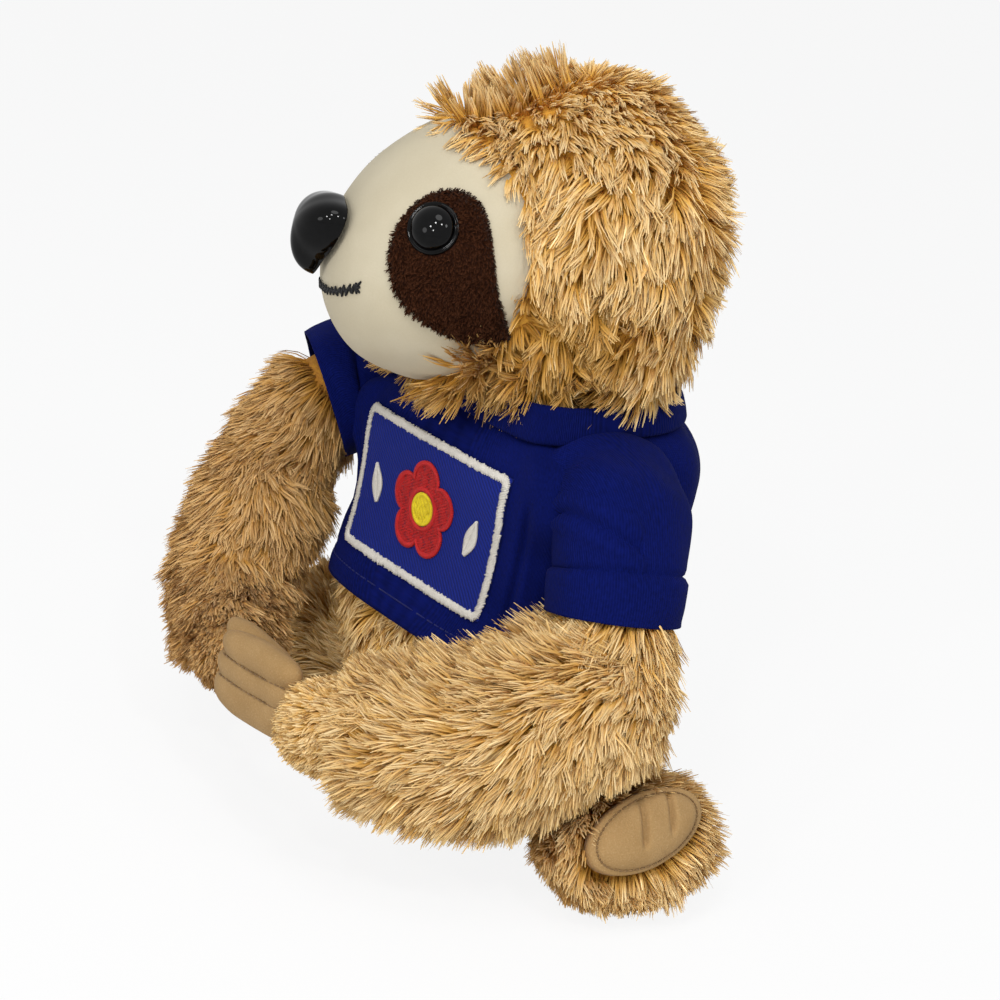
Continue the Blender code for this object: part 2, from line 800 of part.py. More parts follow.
shirt_top = COLLAR_UP - GAP
swollen_body = body_mesh()
swell(swollen_body, GAP)
body_room = place_cutter("body_room", swollen_body)
shirt_body = place(
    "shirt_body", shirt_mesh(SHIRT_HEM_UP, shirt_top, SHIRT_ROOM, 10), SHIRT_BLUE, 0.9
)
wall(shirt_body, SHIRT_CLOTH, 1)
cut(shirt_body, body_room)

neck_band = place(
    "neck_band",
    shirt_mesh(COLLAR_UP, COLLAR_UP + COLLAR_HEIGHT - BODY_LEAN / 3, COLLAR_SPREAD, 2),
    SHIRT_BLUE, 0.9,
)
wall(neck_band, COLLAR_CLOTH, 1)
cut(neck_band, body_room)

# Chest patch
patch_proud = SHIRT_ROOM + SHIRT_CLOTH + 2 * GAP


def chest_slab(name, outline, proud, thickness, colour, roughness):
    """Lay a flat outline, in the chest's own plane, on the chest as a thin slab."""
    slab = bmesh.new()
    corners = [slab.verts.new((side, up, 0)) for side, up in outline]
    slab.faces.new(corners)
    bmesh.ops.triangulate(slab, faces=slab.faces)
    bmesh.ops.recalc_face_normals(slab, faces=slab.faces)
    return drape_on_chest(name, slab, proud, thickness, colour, roughness)


def drape_on_chest(name, slab, proud, thickness, colour, roughness):
    """Move a flat mesh onto the chest and give it its thickness."""
    for vertex in slab.verts:
        side = vertex.co.x
        up = PATCH_UP + vertex.co.y
        vertex.co = Vector((side, chest_front(side, up, proud), up))
    slab.normal_update()
    bmesh.ops.recalc_face_normals(slab, faces=slab.faces)
    slab.normal_update()
    if sum(face.normal.y for face in slab.faces) > 0:
        bmesh.ops.reverse_faces(slab, faces=slab.faces)
    mesh = bpy.data.meshes.new(name)
    slab.to_mesh(mesh)
    slab.free()
    piece = bpy.data.objects.new(name, mesh)
    piece.data.materials.append(material(name, colour, roughness))
    parts.objects.link(piece)
    wall(piece, thickness, 1)
    return piece


def patch_grid(width, height, columns, rows):
    """Return a flat grid of the patch's size."""
    grid = bmesh.new()
    bmesh.ops.create_grid(grid, x_segments=columns, y_segments=rows, size=0.5)
    bmesh.ops.scale(grid, vec=(width, height, 1), verts=grid.verts)
    return grid


drape_on_chest(
    "patch_ground", patch_grid(PATCH_WIDTH, PATCH_HEIGHT, 10, 6),
    patch_proud, PATCH_CLOTH, PATCH_BLUE, 0.8,
)

thread_proud = patch_proud + PATCH_CLOTH + GAP


def border_grid():
    """Return the flat frame that edges the patch."""
    grid = patch_grid(PATCH_WIDTH, PATCH_HEIGHT, 10, 6)
    inner = bmesh.ops.inset_region(
        grid, faces=grid.faces, use_boundary=True, thickness=BORDER_WIDTH, depth=0
    )
    ring = set(inner["faces"])
    gone = [face for face in grid.faces if face not in ring]
    bmesh.ops.delete(grid, geom=gone, context="FACES")
    return grid


drape_on_chest("patch_border", border_grid(), thread_proud, THREAD_RELIEF, THREAD_WHITE, 0.7)


def round_fan(count, radius_at, centre_radius):
    """Return a flat ring between a small circle and an outline given by angle."""
    fan = bmesh.new()
    inner = []
    outer = []
    for index in range(count):
        turn = 2 * math.pi * index / count
        reach = radius_at(turn)
        inner.append(fan.verts.new((centre_radius * math.cos(turn), centre_radius * math.sin(turn), 0)))
        outer.append(fan.verts.new((reach * math.cos(turn), reach * math.sin(turn), 0)))
    for index in range(count):
        after = (index + 1) % count
        fan.faces.new((inner[index], outer[index], outer[after], inner[after]))
    return fan


def petal_reach(turn):
    """Return the flower's outline: five round petals."""
    wave = abs(math.cos(2.5 * turn - math.pi / 4))
    return FLOWER_RADIUS * (0.68 + 0.32 * wave ** 0.6)


drape_on_chest(
    "patch_flower",
    round_fan(40, petal_reach, FLOWER_CENTRE_RADIUS + GAP),
    thread_proud, THREAD_RELIEF, THREAD_RED, 0.7,
)


def flower_centre():
    """Return the flat round middle of the flower."""
    disc = bmesh.new()
    bmesh.ops.create_circle(
        disc, cap_ends=True, cap_tris=True, segments=TURN_STEPS, radius=FLOWER_CENTRE_RADIUS
    )
    return disc


drape_on_chest(
    "patch_flower_centre", flower_centre(), thread_proud, THREAD_RELIEF, THREAD_YELLOW, 0.7
)


def leaf_outline(side):
    """Return a pointed leaf that leans away from the flower."""
    points = []
    steps = 7
    for sign in (1, -1):
        for index in range(steps - 1):
            share = index / (steps - 1) if sign > 0 else 1 - index / (steps - 1)
            across = sign * LEAF_WIDTH / 2 * math.sin(math.pi * share)
            along = (share - 0.5) * LEAF_LENGTH
            points.append((side * (LEAF_OUT + across * 0.8 + along * 0.25), along - across * 0.25))
    return points


for side, sign in (("left", 1), ("right", -1)):
    chest_slab(
        "patch_leaf_" + side, leaf_outline(sign), thread_proud, THREAD_RELIEF, THREAD_WHITE, 0.7
    )


# Limbs
def along_path(points, share):
    """Return a place on a smooth line through the points, share 0 to 1."""
    spans = len(points) - 1
    scaled = min(max(share, 0), 1) * spans
    index = min(int(scaled), spans - 1)
    step = scaled - index
    here = Vector(points[index])
    there = Vector(points[index + 1])
    before = Vector(points[index - 1]) if index > 0 else here * 2 - there
    after = Vector(points[index + 2]) if index + 2 <= spans else there * 2 - here
    square = step * step
    cube = square * step
    return 0.5 * (
        here * 2 + (there - before) * step
        + (before * 2 - here * 5 + there * 4 - after) * square
        + (here * 3 - before - there * 3 + after) * cube
    )


def limb_mesh(points, sizes, clearance=0.0, up=(0, 0, 1)):
    """Return a stuffed tube with round ends; sizes are (radius, flat radius) at each point."""
    tube = unit_ball(LIMB_SEGMENTS, LIMB_RINGS)
    middle_rings = LIMB_RINGS - 2 * CAP_RINGS
    size_points = [Vector((size[0], size[1], 0)) for size in sizes]
    for vertex in tube.verts:
        polar = math.pi - math.acos(min(max(vertex.co.z, -1), 1))
        ring = polar / math.pi * LIMB_RINGS
        turn = math.atan2(vertex.co.y, vertex.co.x)
        if ring < CAP_RINGS:
            share = 0
            angle = math.pi / 2 * ring / CAP_RINGS
            ahead = -math.cos(angle)
        elif ring > LIMB_RINGS - CAP_RINGS:
            share = 1
            angle = math.pi / 2 * (LIMB_RINGS - ring) / CAP_RINGS
            ahead = math.cos(angle)
        else:
            share = (ring - CAP_RINGS) / middle_rings
            angle = math.pi / 2
            ahead = 0
        spot = along_path(points, share)
        tangent = along_path(points, min(share + 0.02, 1)) - along_path(points, max(share - 0.02, 0))
        tangent.normalize()
        side = tangent.cross(Vector(up)).normalized()
        upward = side.cross(tangent)
        size = along_path(size_points, share)
        radius = size.x + clearance
        flat = size.y + clearance
        cap = (size.z + clearance) if size.z > 0 else min(radius, flat)
        spread = math.sin(angle)
        vertex.co = (
            spot + tangent * ahead * cap
            + side * math.cos(turn) * spread * flat
            + upward * math.sin(turn) * spread * radius
        )
    return tube


mouth = limb_mesh(mouth_places(), [(MOUTH_THREAD, MOUTH_THREAD)] * 9)
place("mouth_stitch", mouth, GLOSS_BLACK, 0.7)

ELBOWS = {
    "left": Vector((LEFT_ELBOW_OUT, -LEFT_ELBOW_FORWARD, SHOULDER_UP - LEFT_ELBOW_DROP)),
    "right": Vector((-RIGHT_ELBOW_OUT, -RIGHT_ELBOW_FORWARD, SHOULDER_UP - RIGHT_ELBOW_DROP)),
}
WRISTS = {
    "left": Vector((LEFT_WRIST_OUT, -PALM_FORWARD + LEFT_WRIST_BACK, LEFT_WRIST_UP)),
    "right": Vector((-RIGHT_WRIST_OUT, -PALM_FORWARD + RIGHT_WRIST_BACK, RIGHT_WRIST_UP)),
}


def middle_of(first, second, share, shift):
    """Return a place between two points, moved by a shift."""
    return first.lerp(second, share) + Vector(shift)


upper_arm_paths = {
    "left": (
        SHOULDERS["left"],
        middle_of(SHOULDERS["left"], ELBOWS["left"], 0.5, (GAP, 0, 0)),
        ELBOWS["left"],
    ),
    "right": (
        SHOULDERS["right"],
        middle_of(
            SHOULDERS["right"], ELBOWS["right"], 0.45,
            (-RIGHT_ARM_REACH * 0.25, -RIGHT_ARM_REACH * 0.6, RIGHT_ARM_REACH),
        ),
        ELBOWS["right"],
    ),
}
forearm_paths = {
    "left": (
        ELBOWS["left"],
        middle_of(
            ELBOWS["left"], WRISTS["left"], 0.5, (LEFT_FOREARM_BOW, -GAP, -LEFT_FOREARM_SAG)
        ),
        WRISTS["left"],
    ),
    "right": (
        ELBOWS["right"],
        middle_of(
            ELBOWS["right"], WRISTS["right"], 0.45,
            (-RIGHT_FOREARM_SAG, -GAP, -RIGHT_FOREARM_SAG),
        ),
        WRISTS["right"],
    ),
}
forearm_sizes = {"left": FOREARM_RADIUS, "right": RIGHT_FOREARM_RADIUS}

ARM_ACROSS = (1, 0, 0)
sleeve_clearance = 2 * GAP + SHIRT_CLOTH + JOINT_GAP

for side in ("left", "right"):
    sign = 1 if side == "left" else -1
    path = upper_arm_paths[side]
    half_width = SHOULDER_HALF_WIDTH if side == "left" else RIGHT_SHOULDER_HALF_WIDTH
    upper_sizes = (
        (SHOULDER_RADIUS, half_width),
        (UPPER_ARM_RADIUS, UPPER_ARM_RADIUS),
        (UPPER_ARM_RADIUS, UPPER_ARM_RADIUS),
    )
    room = place_cutter(
        side + "_arm_room", limb_mesh(path, upper_sizes, sleeve_clearance, ARM_ACROSS)
    )
    for step in range(1, LIFT_STEPS + 1):
        lift = Matrix.Rotation(-sign * math.radians(SHOULDER_LIFT_DEG) * step / LIFT_STEPS, 4, "Y")
        lifted = Matrix.Translation(path[0]) @ lift @ Matrix.Translation(-path[0])
        cut(room, place_cutter(
            side + "_lifted_arm_room_" + str(step),
            limb_mesh(path, upper_sizes, sleeve_clearance, ARM_ACROSS), lifted,
        ), "UNION")
    for piece in (body_cover, body_stuffing, shirt_body, neck_band):
        cut(piece, room)
    upper_arm = place(
        side + "_upper_arm", limb_mesh(path, upper_sizes, 0, ARM_ACROSS), FUR, 0.95
    )
    arm_sizes = ((ELBOW_RADIUS, ELBOW_RADIUS), (forearm_sizes[side],) * 2, (WRIST_RADIUS,) * 2)
    cut(upper_arm, place_cutter(
        side + "_elbow_room", limb_mesh(forearm_paths[side], arm_sizes, JOINT_GAP)
    ))

    start = path[0]
    sleeve_end_share = left_sleeve_end_share if side == "left" else right_sleeve_end_share
    sleeve_path = [along_path(path, sleeve_end_share * index / 2) for index in range(3)]
    middle_size = (UPPER_ARM_RADIUS, (half_width + UPPER_ARM_RADIUS) / 2)
    sleeve_sizes = (upper_sizes[0], middle_size, upper_sizes[1])
    sleeve = place(
        side + "_sleeve", limb_mesh(sleeve_path, sleeve_sizes, 2 * GAP, ARM_ACROSS), SHIRT_BLUE, 0.9
    )
    wall(sleeve, SHIRT_CLOTH, 1)
    cut(sleeve, place_cutter(side + "_sleeve_room", limb_mesh(path, upper_sizes, GAP, ARM_ACROSS)))
    ahead = sleeve_path[2] - along_path(path, sleeve_end_share * 0.9)
    beyond = box_along(
        side + "_sleeve_end", look_along(sleeve_path[2], ahead, ARM_ACROSS), 0, OVERRUN * 2
    )
    cut(sleeve, beyond)
    inner_side = start.x - sign * SHOULDER_RADIUS * armhole_share
    armhole = box_cutter(
        side + "_armhole",
        (min(inner_side, -sign), -1, -1),
        (max(inner_side, -sign), 1, 1),
    )
    cut(sleeve, armhole)

    arm_sizes = ((ELBOW_RADIUS, ELBOW_RADIUS), (forearm_sizes[side],) * 2, (WRIST_RADIUS,) * 2)
    place(side + "_forearm", limb_mesh(forearm_paths[side], arm_sizes), FUR, 0.95)


# Hands
def finger_mesh(side, finger, clearance=0.0):
    """Return one rounded finger of a mitt, lying along X."""
    across, half_length, half_width = (share * MITT_HALF_LENGTH for share in finger)
    sign = 1 if side == "left" else -1
    middle_side = LEFT_MITT_SIDE if side == "left" else RIGHT_MITT_SIDE
    middle_up = LEFT_MITT_UP if side == "left" else RIGHT_MITT_UP
    away = PALM_PAD_ROOM + MITT_HALF_THICKNESS - MITT_FLAT
    ball = unit_ball(FINGER_SEGMENTS, FINGER_RINGS)
    for vertex in ball.verts:
        spot = vertex.co.copy()
        vertex.co = Vector((spot.z * half_length, spot.x * MITT_HALF_THICKNESS, spot.y * half_width))
    bmesh.ops.rotate(
        ball, verts=ball.verts, matrix=Matrix.Rotation(-sign * math.radians(MITT_SLOPE_DEG), 3, "Y")
    )
    bmesh.ops.translate(
        ball, verts=ball.verts, vec=(middle_side, -PALM_FORWARD - sign * away, middle_up + across)
    )
    return ball


PALM_PAD_ROOM = GAP / 2 + PAD_CLOTH + GAP

for side in ("left", "right"):
    sign = 1 if side == "left" else -1
    claws = place(side + "_claws", finger_mesh(side, finger_shares[0]), SUEDE, 0.9)
    for number, finger in enumerate(finger_shares[1:]):
        cut(claws, place_cutter(side + "_finger_" + str(number), finger_mesh(side, finger)), "UNION")
    flat = -PALM_FORWARD - sign * PALM_PAD_ROOM
    cut(claws, box_cutter(
        side + "_palm_flat", (-1, min(flat, flat + sign), -1), (1, max(flat, flat + sign), 1)
    ))
    arm_sizes = ((ELBOW_RADIUS, ELBOW_RADIUS), (forearm_sizes[side],) * 2, (WRIST_RADIUS,) * 2)
    cut(claws, place_cutter(side + "_wrist_room", limb_mesh(forearm_paths[side], arm_sizes, GAP)))


def palm_pad(name, sign, colour):
    """Make one thin square of fastening tape on a palm; sign 1 is the left hand."""
    pad = bmesh.new()
    bmesh.ops.create_cube(pad, size=1)
    bmesh.ops.scale(pad, vec=(PALM_PAD_LENGTH, PAD_CLOTH, PALM_PAD_WIDTH), verts=pad.verts)
    forward = PALM_FORWARD + sign * (GAP + PAD_CLOTH) / 2
    place(name, pad, colour, 0.9, Matrix.Translation((PALM_PAD_SIDE, -forward, PALM_PAD_UP)))


palm_pad("hook_pad", 1, HOOK_TAN)
palm_pad("loop_pad", -1, LINING)


# Legs
def leg_mesh(side, clearance=0.0, swing=0.0):
    """Return one leg from the hip to the foot; swing leaves room for the hip's turning."""
    sign = 1 if side == "left" else -1
    hip = HIPS[side]
    foot = Vector((sign * FOOT_OUT, -FOOT_FORWARD, FOOT_HALF_HEIGHT - FLOOR_CUT))
    middle = (HIP_RADIUS + FOOT_HALF_HEIGHT) / 2 - LEG_WAIST
    sizes = (
        (HIP_RADIUS, HIP_RADIUS),
        (middle, middle + swing),
        (FOOT_HALF_HEIGHT, FOOT_HALF_WIDTH + swing),
    )
    return limb_mesh((hip, hip.lerp(foot, 0.5), foot), sizes, clearance)


def sole_mesh(side, clearance=0.0):
    """Return the lens shaped sole pad at the end of a foot."""
    sign = 1 if side == "left" else -1
    facing = Vector((sign * sole_facing[0], sole_facing[1], sole_facing[2])).normalized()
    foot = Vector((sign * FOOT_OUT, -FOOT_FORWARD, FOOT_HALF_HEIGHT - FLOOR_CUT))
    lens = unit_ball(LIMB_SEGMENTS, LIMB_RINGS)
    half = (
        SOLE_HALF_LENGTH + clearance, SOLE_HALF_WIDTH + clearance, SOLE_HALF_THICKNESS + clearance
    )
    bmesh.ops.scale(lens, vec=half, verts=lens.verts)
    roll = Matrix.Rotation(math.radians(sign * SOLE_ROLL_DEG), 4, "Z")
    frame = look_along(foot + facing * SOLE_REACH, facing) @ roll
    bmesh.ops.transform(lens, matrix=frame, verts=lens.verts)
    return lens


for side in ("left", "right"):
    leg = place(side + "_leg", leg_mesh(side), FUR, 0.95)
    cut(leg, floor_cutter)
    cut(leg, place_cutter(side + "_sole_room", sole_mesh(side, GAP)))
    leg_room = place_cutter(side + "_leg_room", leg_mesh(side, JOINT_GAP, LEG_SWING))
    cut(body_cover, leg_room)
    cut(body_stuffing, leg_room)
    sole = place(side + "_sole", sole_mesh(side), SUEDE, 0.9)
    cut(sole, floor_cutter)
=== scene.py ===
"""Looks of a plush sloth that sits with its hands together, in a small knitted T-shirt.

The sloth faces -Y, its left side is +X and +Z is up, all in metres in the frame of
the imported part. Each sub-assembly is a class that builds its cloth, fur and trim.
"""
import logging
import math
from dataclasses import dataclass
from enum import Enum
from typing import Callable, Iterable, Sequence

import bmesh
import bpy
import numpy as np
from mathutils import Matrix, Vector, noise


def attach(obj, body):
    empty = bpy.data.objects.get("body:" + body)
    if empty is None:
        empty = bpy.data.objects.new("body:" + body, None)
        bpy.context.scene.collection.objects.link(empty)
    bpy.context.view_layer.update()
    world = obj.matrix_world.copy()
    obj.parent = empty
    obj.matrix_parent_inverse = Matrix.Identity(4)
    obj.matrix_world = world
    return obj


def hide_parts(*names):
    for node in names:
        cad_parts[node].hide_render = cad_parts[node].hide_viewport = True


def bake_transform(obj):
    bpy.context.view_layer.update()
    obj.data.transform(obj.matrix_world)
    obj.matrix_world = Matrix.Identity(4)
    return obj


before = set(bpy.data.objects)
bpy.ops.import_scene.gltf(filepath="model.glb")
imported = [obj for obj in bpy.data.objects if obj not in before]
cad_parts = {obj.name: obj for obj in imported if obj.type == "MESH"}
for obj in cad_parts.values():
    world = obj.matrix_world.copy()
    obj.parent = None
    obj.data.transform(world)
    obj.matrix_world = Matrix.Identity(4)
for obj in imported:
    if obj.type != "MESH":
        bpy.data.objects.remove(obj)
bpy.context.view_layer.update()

Array = np.ndarray
Rows = Sequence[Sequence[float]]
Triple = tuple[float, float, float]
Pair = tuple[float, float]
Piece = bpy.types.Object
Mesh = bpy.types.Mesh
Material = bpy.types.Material
Socket = bpy.types.NodeSocket
Form = bmesh.types.BMesh
PlaceRule = Callable[[float, float], Sequence[float]]
SpotRule = Callable[[Array], Array]
log = logging.getLogger("sloth")

FLOOR_CLEAR = 0.0003
BAKE_MAP = "OFBake"
CLOTH_MAP = "cloth"
FUR_COLUMNS = 64
WHITE = (1.0, 1.0, 1.0, 1.0)


class Side(Enum):
    """The sloth's own left and right; the value is the sign of X."""

    LEFT = 1
    RIGHT = -1

    @property
    def label(self) -> str:
        """The side's word in piece names."""
        return self.name.lower()


class Body(Enum):
    """The moving bodies of the part that the pieces here ride on."""

    TORSO = "torso"
    NECK = "neck"
    HEAD = "head"
    LEFT_ARM = "left_arm"
    RIGHT_ARM = "right_arm"
    LEFT_LOWER_ARM = "left_lower_arm"
    RIGHT_LOWER_ARM = "right_lower_arm"
    LEFT_FOOT = "left_foot"
    RIGHT_FOOT = "right_foot"


# Finishes
class NodeSketch:
    """Adds shader nodes to one new material."""

    def __init__(self, name: str) -> None:
        """Start a material with its plain shader.

        Args:
            name: The material's name.
        """
        self.material = bpy.data.materials.new(name)
        self.material.use_nodes = True
        self.tree = self.material.node_tree
        self.shader = self.tree.nodes["Principled BSDF"]

    def node(self, kind: str, **settings: object) -> bpy.types.Node:
        """Add a node and set its own settings.

        Args:
            kind: The node's type name.
            settings: Values for the node's properties.

        Returns:
            The new node.
        """
        made = self.tree.nodes.new(kind)
        for key, value in settings.items():
            setattr(made, key, value)
        return made

    def link(self, source: Socket, target: Socket) -> None:
        """Join two sockets."""
        self.tree.links.new(source, target)

    def place(self, stretch: Triple = (1, 1, 1), chart: str = "") -> Socket:
        """Give the place on the piece, stretched along each axis.

        Args:
            stretch: Scale along each axis.
            chart: Name of a UV map, or empty for the piece's own metres.

        Returns:
            The socket with the scaled place.
        """
        if chart:
            source = self.node("ShaderNodeUVMap", uv_map=chart).outputs["UV"]
        else:
            source = self.node("ShaderNodeTexCoord").outputs["Object"]
        mapping = self.node("ShaderNodeMapping")
        mapping.inputs["Scale"].default_value = stretch
        self.link(source, mapping.inputs["Vector"])
        return mapping.outputs["Vector"]

    def noise(self, place: Socket, scale: float, detail: float = 3.0) -> Socket:
        """Give a cloudy value at a place.

        Args:
            place: The socket with the place.
            scale: How many clouds fit in one unit.
            detail: How many finer layers there are.

        Returns:
            The socket with the value from 0 to 1.
        """
        clouds = self.node("ShaderNodeTexNoise")
        clouds.inputs["Scale"].default_value = scale
        clouds.inputs["Detail"].default_value = detail
        self.link(place, clouds.inputs["Vector"])
        return clouds.outputs["Fac"]

    def wave(self, place: Socket, scale: float, along: str = "X", bend: float = 0.0) -> Socket:
        """Give a value that goes up and down along one axis.

        Args:
            place: The socket with the place.
            scale: The bands' scale.
            along: The axis that the bands cross.
            bend: How far the bands are distorted.

        Returns:
            The socket with the value from 0 to 1.
        """
        bands = self.node("ShaderNodeTexWave", bands_direction=along)
        bands.inputs["Scale"].default_value = scale
        bands.inputs["Distortion"].default_value = bend
        bands.inputs["Detail Scale"].default_value = 2.0
        self.link(place, bands.inputs["Vector"])
        return bands.outputs["Fac"]

    def sum(self, one: Socket, other: Socket, share: float) -> Socket:
        """Add a share of one value to another.

        Args:
            one: The first value.
            other: The value of which a share is added.
            share: That share.

        Returns:
            The socket with the sum.
        """
        add = self.node("ShaderNodeMath", operation="MULTIPLY_ADD")
        self.link(other, add.inputs[0])
        add.inputs[1].default_value = share
        self.link(one, add.inputs[2])
        return add.outputs[0]

    def ramp(self, value: Socket, stops: Sequence[tuple[float, Triple]], way: str = "LINEAR") -> Socket:
        """Turn a value into a colour.

        Args:
            value: The socket with the value from 0 to 1.
            stops: Each place from 0 to 1 and its colour.
            way: How colours change between the places.

        Returns:
            The socket with the colour.
        """
        ramp = self.node("ShaderNodeValToRGB")
        ramp.color_ramp.interpolation = way
        elements = ramp.color_ramp.elements
        while len(elements) < len(stops):
            elements.new(0.5)
        for element, (spot, colour) in zip(elements, stops):
            element.position = spot
            element.color = (*colour, 1)
        self.link(value, ramp.inputs["Fac"])
        return ramp.outputs["Color"]

    def mix(self, share: float | Socket, first: Socket, second: Socket, way: str = "MIX") -> Socket:
        """Blend two colours by a value.

        Args:
            share: How much of the second there is, as a number or a socket.
            first: The first colour.
            second: The second colour.
            way: How the two are blended.

        Returns:
            The socket with the colour.
        """
        blend = self.node("ShaderNodeMix", data_type="RGBA", blend_type=way)
        if isinstance(share, float):
            blend.inputs[0].default_value = share
        else:
            self.link(share, blend.inputs[0])
        self.link(first, blend.inputs[6])
        self.link(second, blend.inputs[7])
        return blend.outputs[2]

    def colour(self, source: Socket) -> None:
        """Give the shader its colour."""
        self.link(source, self.shader.inputs["Base Color"])

    def rough(self, value: Socket, low: float, high: float) -> None:
        """Give the shader a roughness that follows a value.

        Args:
            value: The socket with the value from 0 to 1.
            low: Roughness at 0.
            high: Roughness at 1.
        """
        span = self.node("ShaderNodeMapRange")
        span.inputs["To Min"].default_value = low
        span.inputs["To Max"].default_value = high
        self.link(value, span.inputs["Value"])
        self.link(span.outputs["Result"], self.shader.inputs["Roughness"])

    def bump(self, height: Socket, depth: float) -> None:
        """Raise the surface by a value.

        Args:
            height: The socket with the height from 0 to 1.
            depth: What a height of 1 is in metres.
        """
        bump = self.node("ShaderNodeBump")
        bump.inputs["Strength"].default_value = 1.0
        bump.inputs["Distance"].default_value = depth
        self.link(height, bump.inputs["Height"])
        self.link(bump.outputs["Normal"], self.shader.inputs["Normal"])

    def set(self, **values: float) -> None:
        """Set constant sockets of the shader; a low line in a name stands for a space."""
        for key, value in values.items():
            self.shader.inputs[key.replace("_", " ")].default_value = value


@dataclass(frozen=True)
class FurFinish:
    """Two-tone plush pile: golden at its roots and cream at its tips, with gold glitter, and painted shade
    at the very roots.
    """

    name: str
    root: Triple
    middle: Triple
    tip: Triple
    # Painted shade: the darker colour at the very roots, deep in the pile where the strands shade each
    # other.
    shade: Triple
    glitter: float = 0.0
    sheen: float = 0.08

    def strands(self) -> Material:
        """Make the strands' material, which depends only on the strand chart.

        Returns:
            The material.
        """
        sketch = NodeSketch(self.name)
        split = sketch.node("ShaderNodeSeparateXYZ")
        sketch.link(sketch.place((1, 1, 1), BAKE_MAP), split.inputs[0])
        column, along = split.outputs["X"], split.outputs["Y"]
        # Both ramps start from the painted shade colour at the root, for the shade that the pile casts on
        # itself.
        frosted = sketch.ramp(
            along, ((0.0, self.shade), (0.2, self.root), (0.5, self.middle), (0.8, self.tip))
        )
        golden = sketch.ramp(
            along, ((0.0, self.shade), (0.35, self.root), (0.75, self.root), (1.0, self.middle))
        )
        deeper = sketch.ramp(column, ((0.05, (0.56, 0.49, 0.40)), (0.36, (1, 1, 1))))
        body = sketch.mix(1.0, sketch.mix(column, golden, frosted), deeper, "MULTIPLY")
        streaks = sketch.noise(sketch.place((260, 3, 1), BAKE_MAP), 1.0, 2.0)
        varied = sketch.ramp(streaks, ((0.3, (0.80, 0.76, 0.70)), (0.62, (1, 1, 1))))
        sketch.colour(sketch.mix(0.8, body, varied, "MULTIPLY"))
        sketch.rough(streaks, 0.5, 0.8)
        if self.glitter:
            metal = sketch.ramp(
                column, ((0.0, (0, 0, 0)), (1 - 2 / FUR_COLUMNS, (self.glitter,) * 3)), "CONSTANT"
            )
            sketch.link(metal, sketch.shader.inputs["Metallic"])
        sketch.set(Sheen_Weight=self.sheen, Specular_IOR_Level=self.sheen * 2.5)
        return sketch.material

    def backing(self) -> Material:
        """Make the woven backing that shows between the strands.

        Returns:
            The material.
        """
        sketch = NodeSketch(self.name + "_backing")
        spot = sketch.place()
        clouds = sketch.noise(spot, 900, 4)
        # Cloudy between the painted shade colour and the root colour, so patches of painted shade from the
        # pile lie on the cloth.
        sketch.colour(sketch.ramp(clouds, ((0.3, self.shade), (0.7, self.root))))
        sketch.rough(clouds, 0.8, 1.0)
        sketch.bump(clouds, 0.0006)
        return sketch.material


@dataclass(frozen=True)
class Finish:
    """One named finish that paints its own shader nodes."""

    name: str

    def build(self) -> Material:
        """Make the material.

        Returns:
            The material.
        """
        sketch = NodeSketch(self.name)
        self.paint(sketch)
        return sketch.material

    def paint(self, sketch: NodeSketch) -> None:
        """Add the finish's nodes."""
        raise NotImplementedError


@dataclass(frozen=True)
class PileFinish(Finish):
    """Short velvety pile, felt or suede: cloudy colour with a soft sheen and a fine nap."""

    dark: Triple
    light: Triple
    fleck: Triple
    grain: float = 2600.0
    nap: float = 0.00025
    sheen: float = 0.3
    fleck_start: float = 0.72
    flecks: float = 0.5

    def paint(self, sketch: NodeSketch) -> None:
        """Add the finish's nodes.

        Args:
            sketch: The shader nodes to add to.
        """
        spot = sketch.place()
        fine = sketch.noise(spot, self.grain, 4)
        wide = sketch.noise(spot, self.grain / 28, 2)
        base = sketch.ramp(wide, ((0.35, self.dark), (0.65, self.light)))
        fibres = sketch.ramp(fine, ((0.35, self.dark), (0.55, self.light), (self.fleck_start, self.fleck)))
        sketch.colour(sketch.mix(self.flecks, base, fibres))
        sketch.rough(fine, 0.75, 0.98)
        sketch.bump(sketch.sum(fine, wide, 0.6), self.nap)
        sketch.set(Sheen_Weight=self.sheen, Sheen_Roughness=0.5, Specular_IOR_Level=0.1)


@dataclass(frozen=True)
class GlossFinish(Finish):
    """Polished dark plastic with faint scuffs."""

    colour: Triple
    roughness: float

    def paint(self, sketch: NodeSketch) -> None:
        """Add the finish's nodes.

        Args:
            sketch: The shader nodes to add to.
        """
        spot = sketch.place()
        scuffs = sketch.noise(spot, 700, 5)
        lighter = tuple(c * 2.2 + 0.001 for c in self.colour)
        sketch.colour(sketch.ramp(scuffs, ((0.4, self.colour), (0.8, lighter))))
        sketch.rough(scuffs, self.roughness * 0.7, self.roughness * 1.8)
        sketch.set(Specular_IOR_Level=0.14)


@dataclass(frozen=True)
class KnitFinish(Finish):
    """Fine jersey: upright ribs of small slanted stitches, charted in metres."""

    dark: Triple
    light: Triple
    rib: float
    course: float
    depth: float

    def paint(self, sketch: NodeSketch) -> None:
        """Add the finish's nodes.

        Args:
            sketch: The shader nodes to add to.
        """
        spot = sketch.place((1, 1, 1), CLOTH_MAP)
        ribs = sketch.wave(spot, math.pi / 10 / self.rib, "X")
        rows = sketch.wave(spot, math.pi / 10 / self.course, "DIAGONAL", 0.3)
        fuzz = sketch.noise(spot, 0.8 / self.rib, 4)
        height = sketch.sum(sketch.sum(ribs, rows, 0.35), fuzz, 0.5)
        wide = sketch.noise(sketch.place(), 60, 2)
        level = sketch.sum(sketch.sum(fuzz, wide, 0.35), ribs, 0.25)
        sketch.colour(sketch.ramp(level, ((0.35, self.dark), (1.05, self.light))))
        sketch.rough(fuzz, 0.75, 0.95)
        sketch.bump(height, self.depth)
        sketch.set(Sheen_Weight=0.008, Sheen_Roughness=0.5, Specular_IOR_Level=0.04)


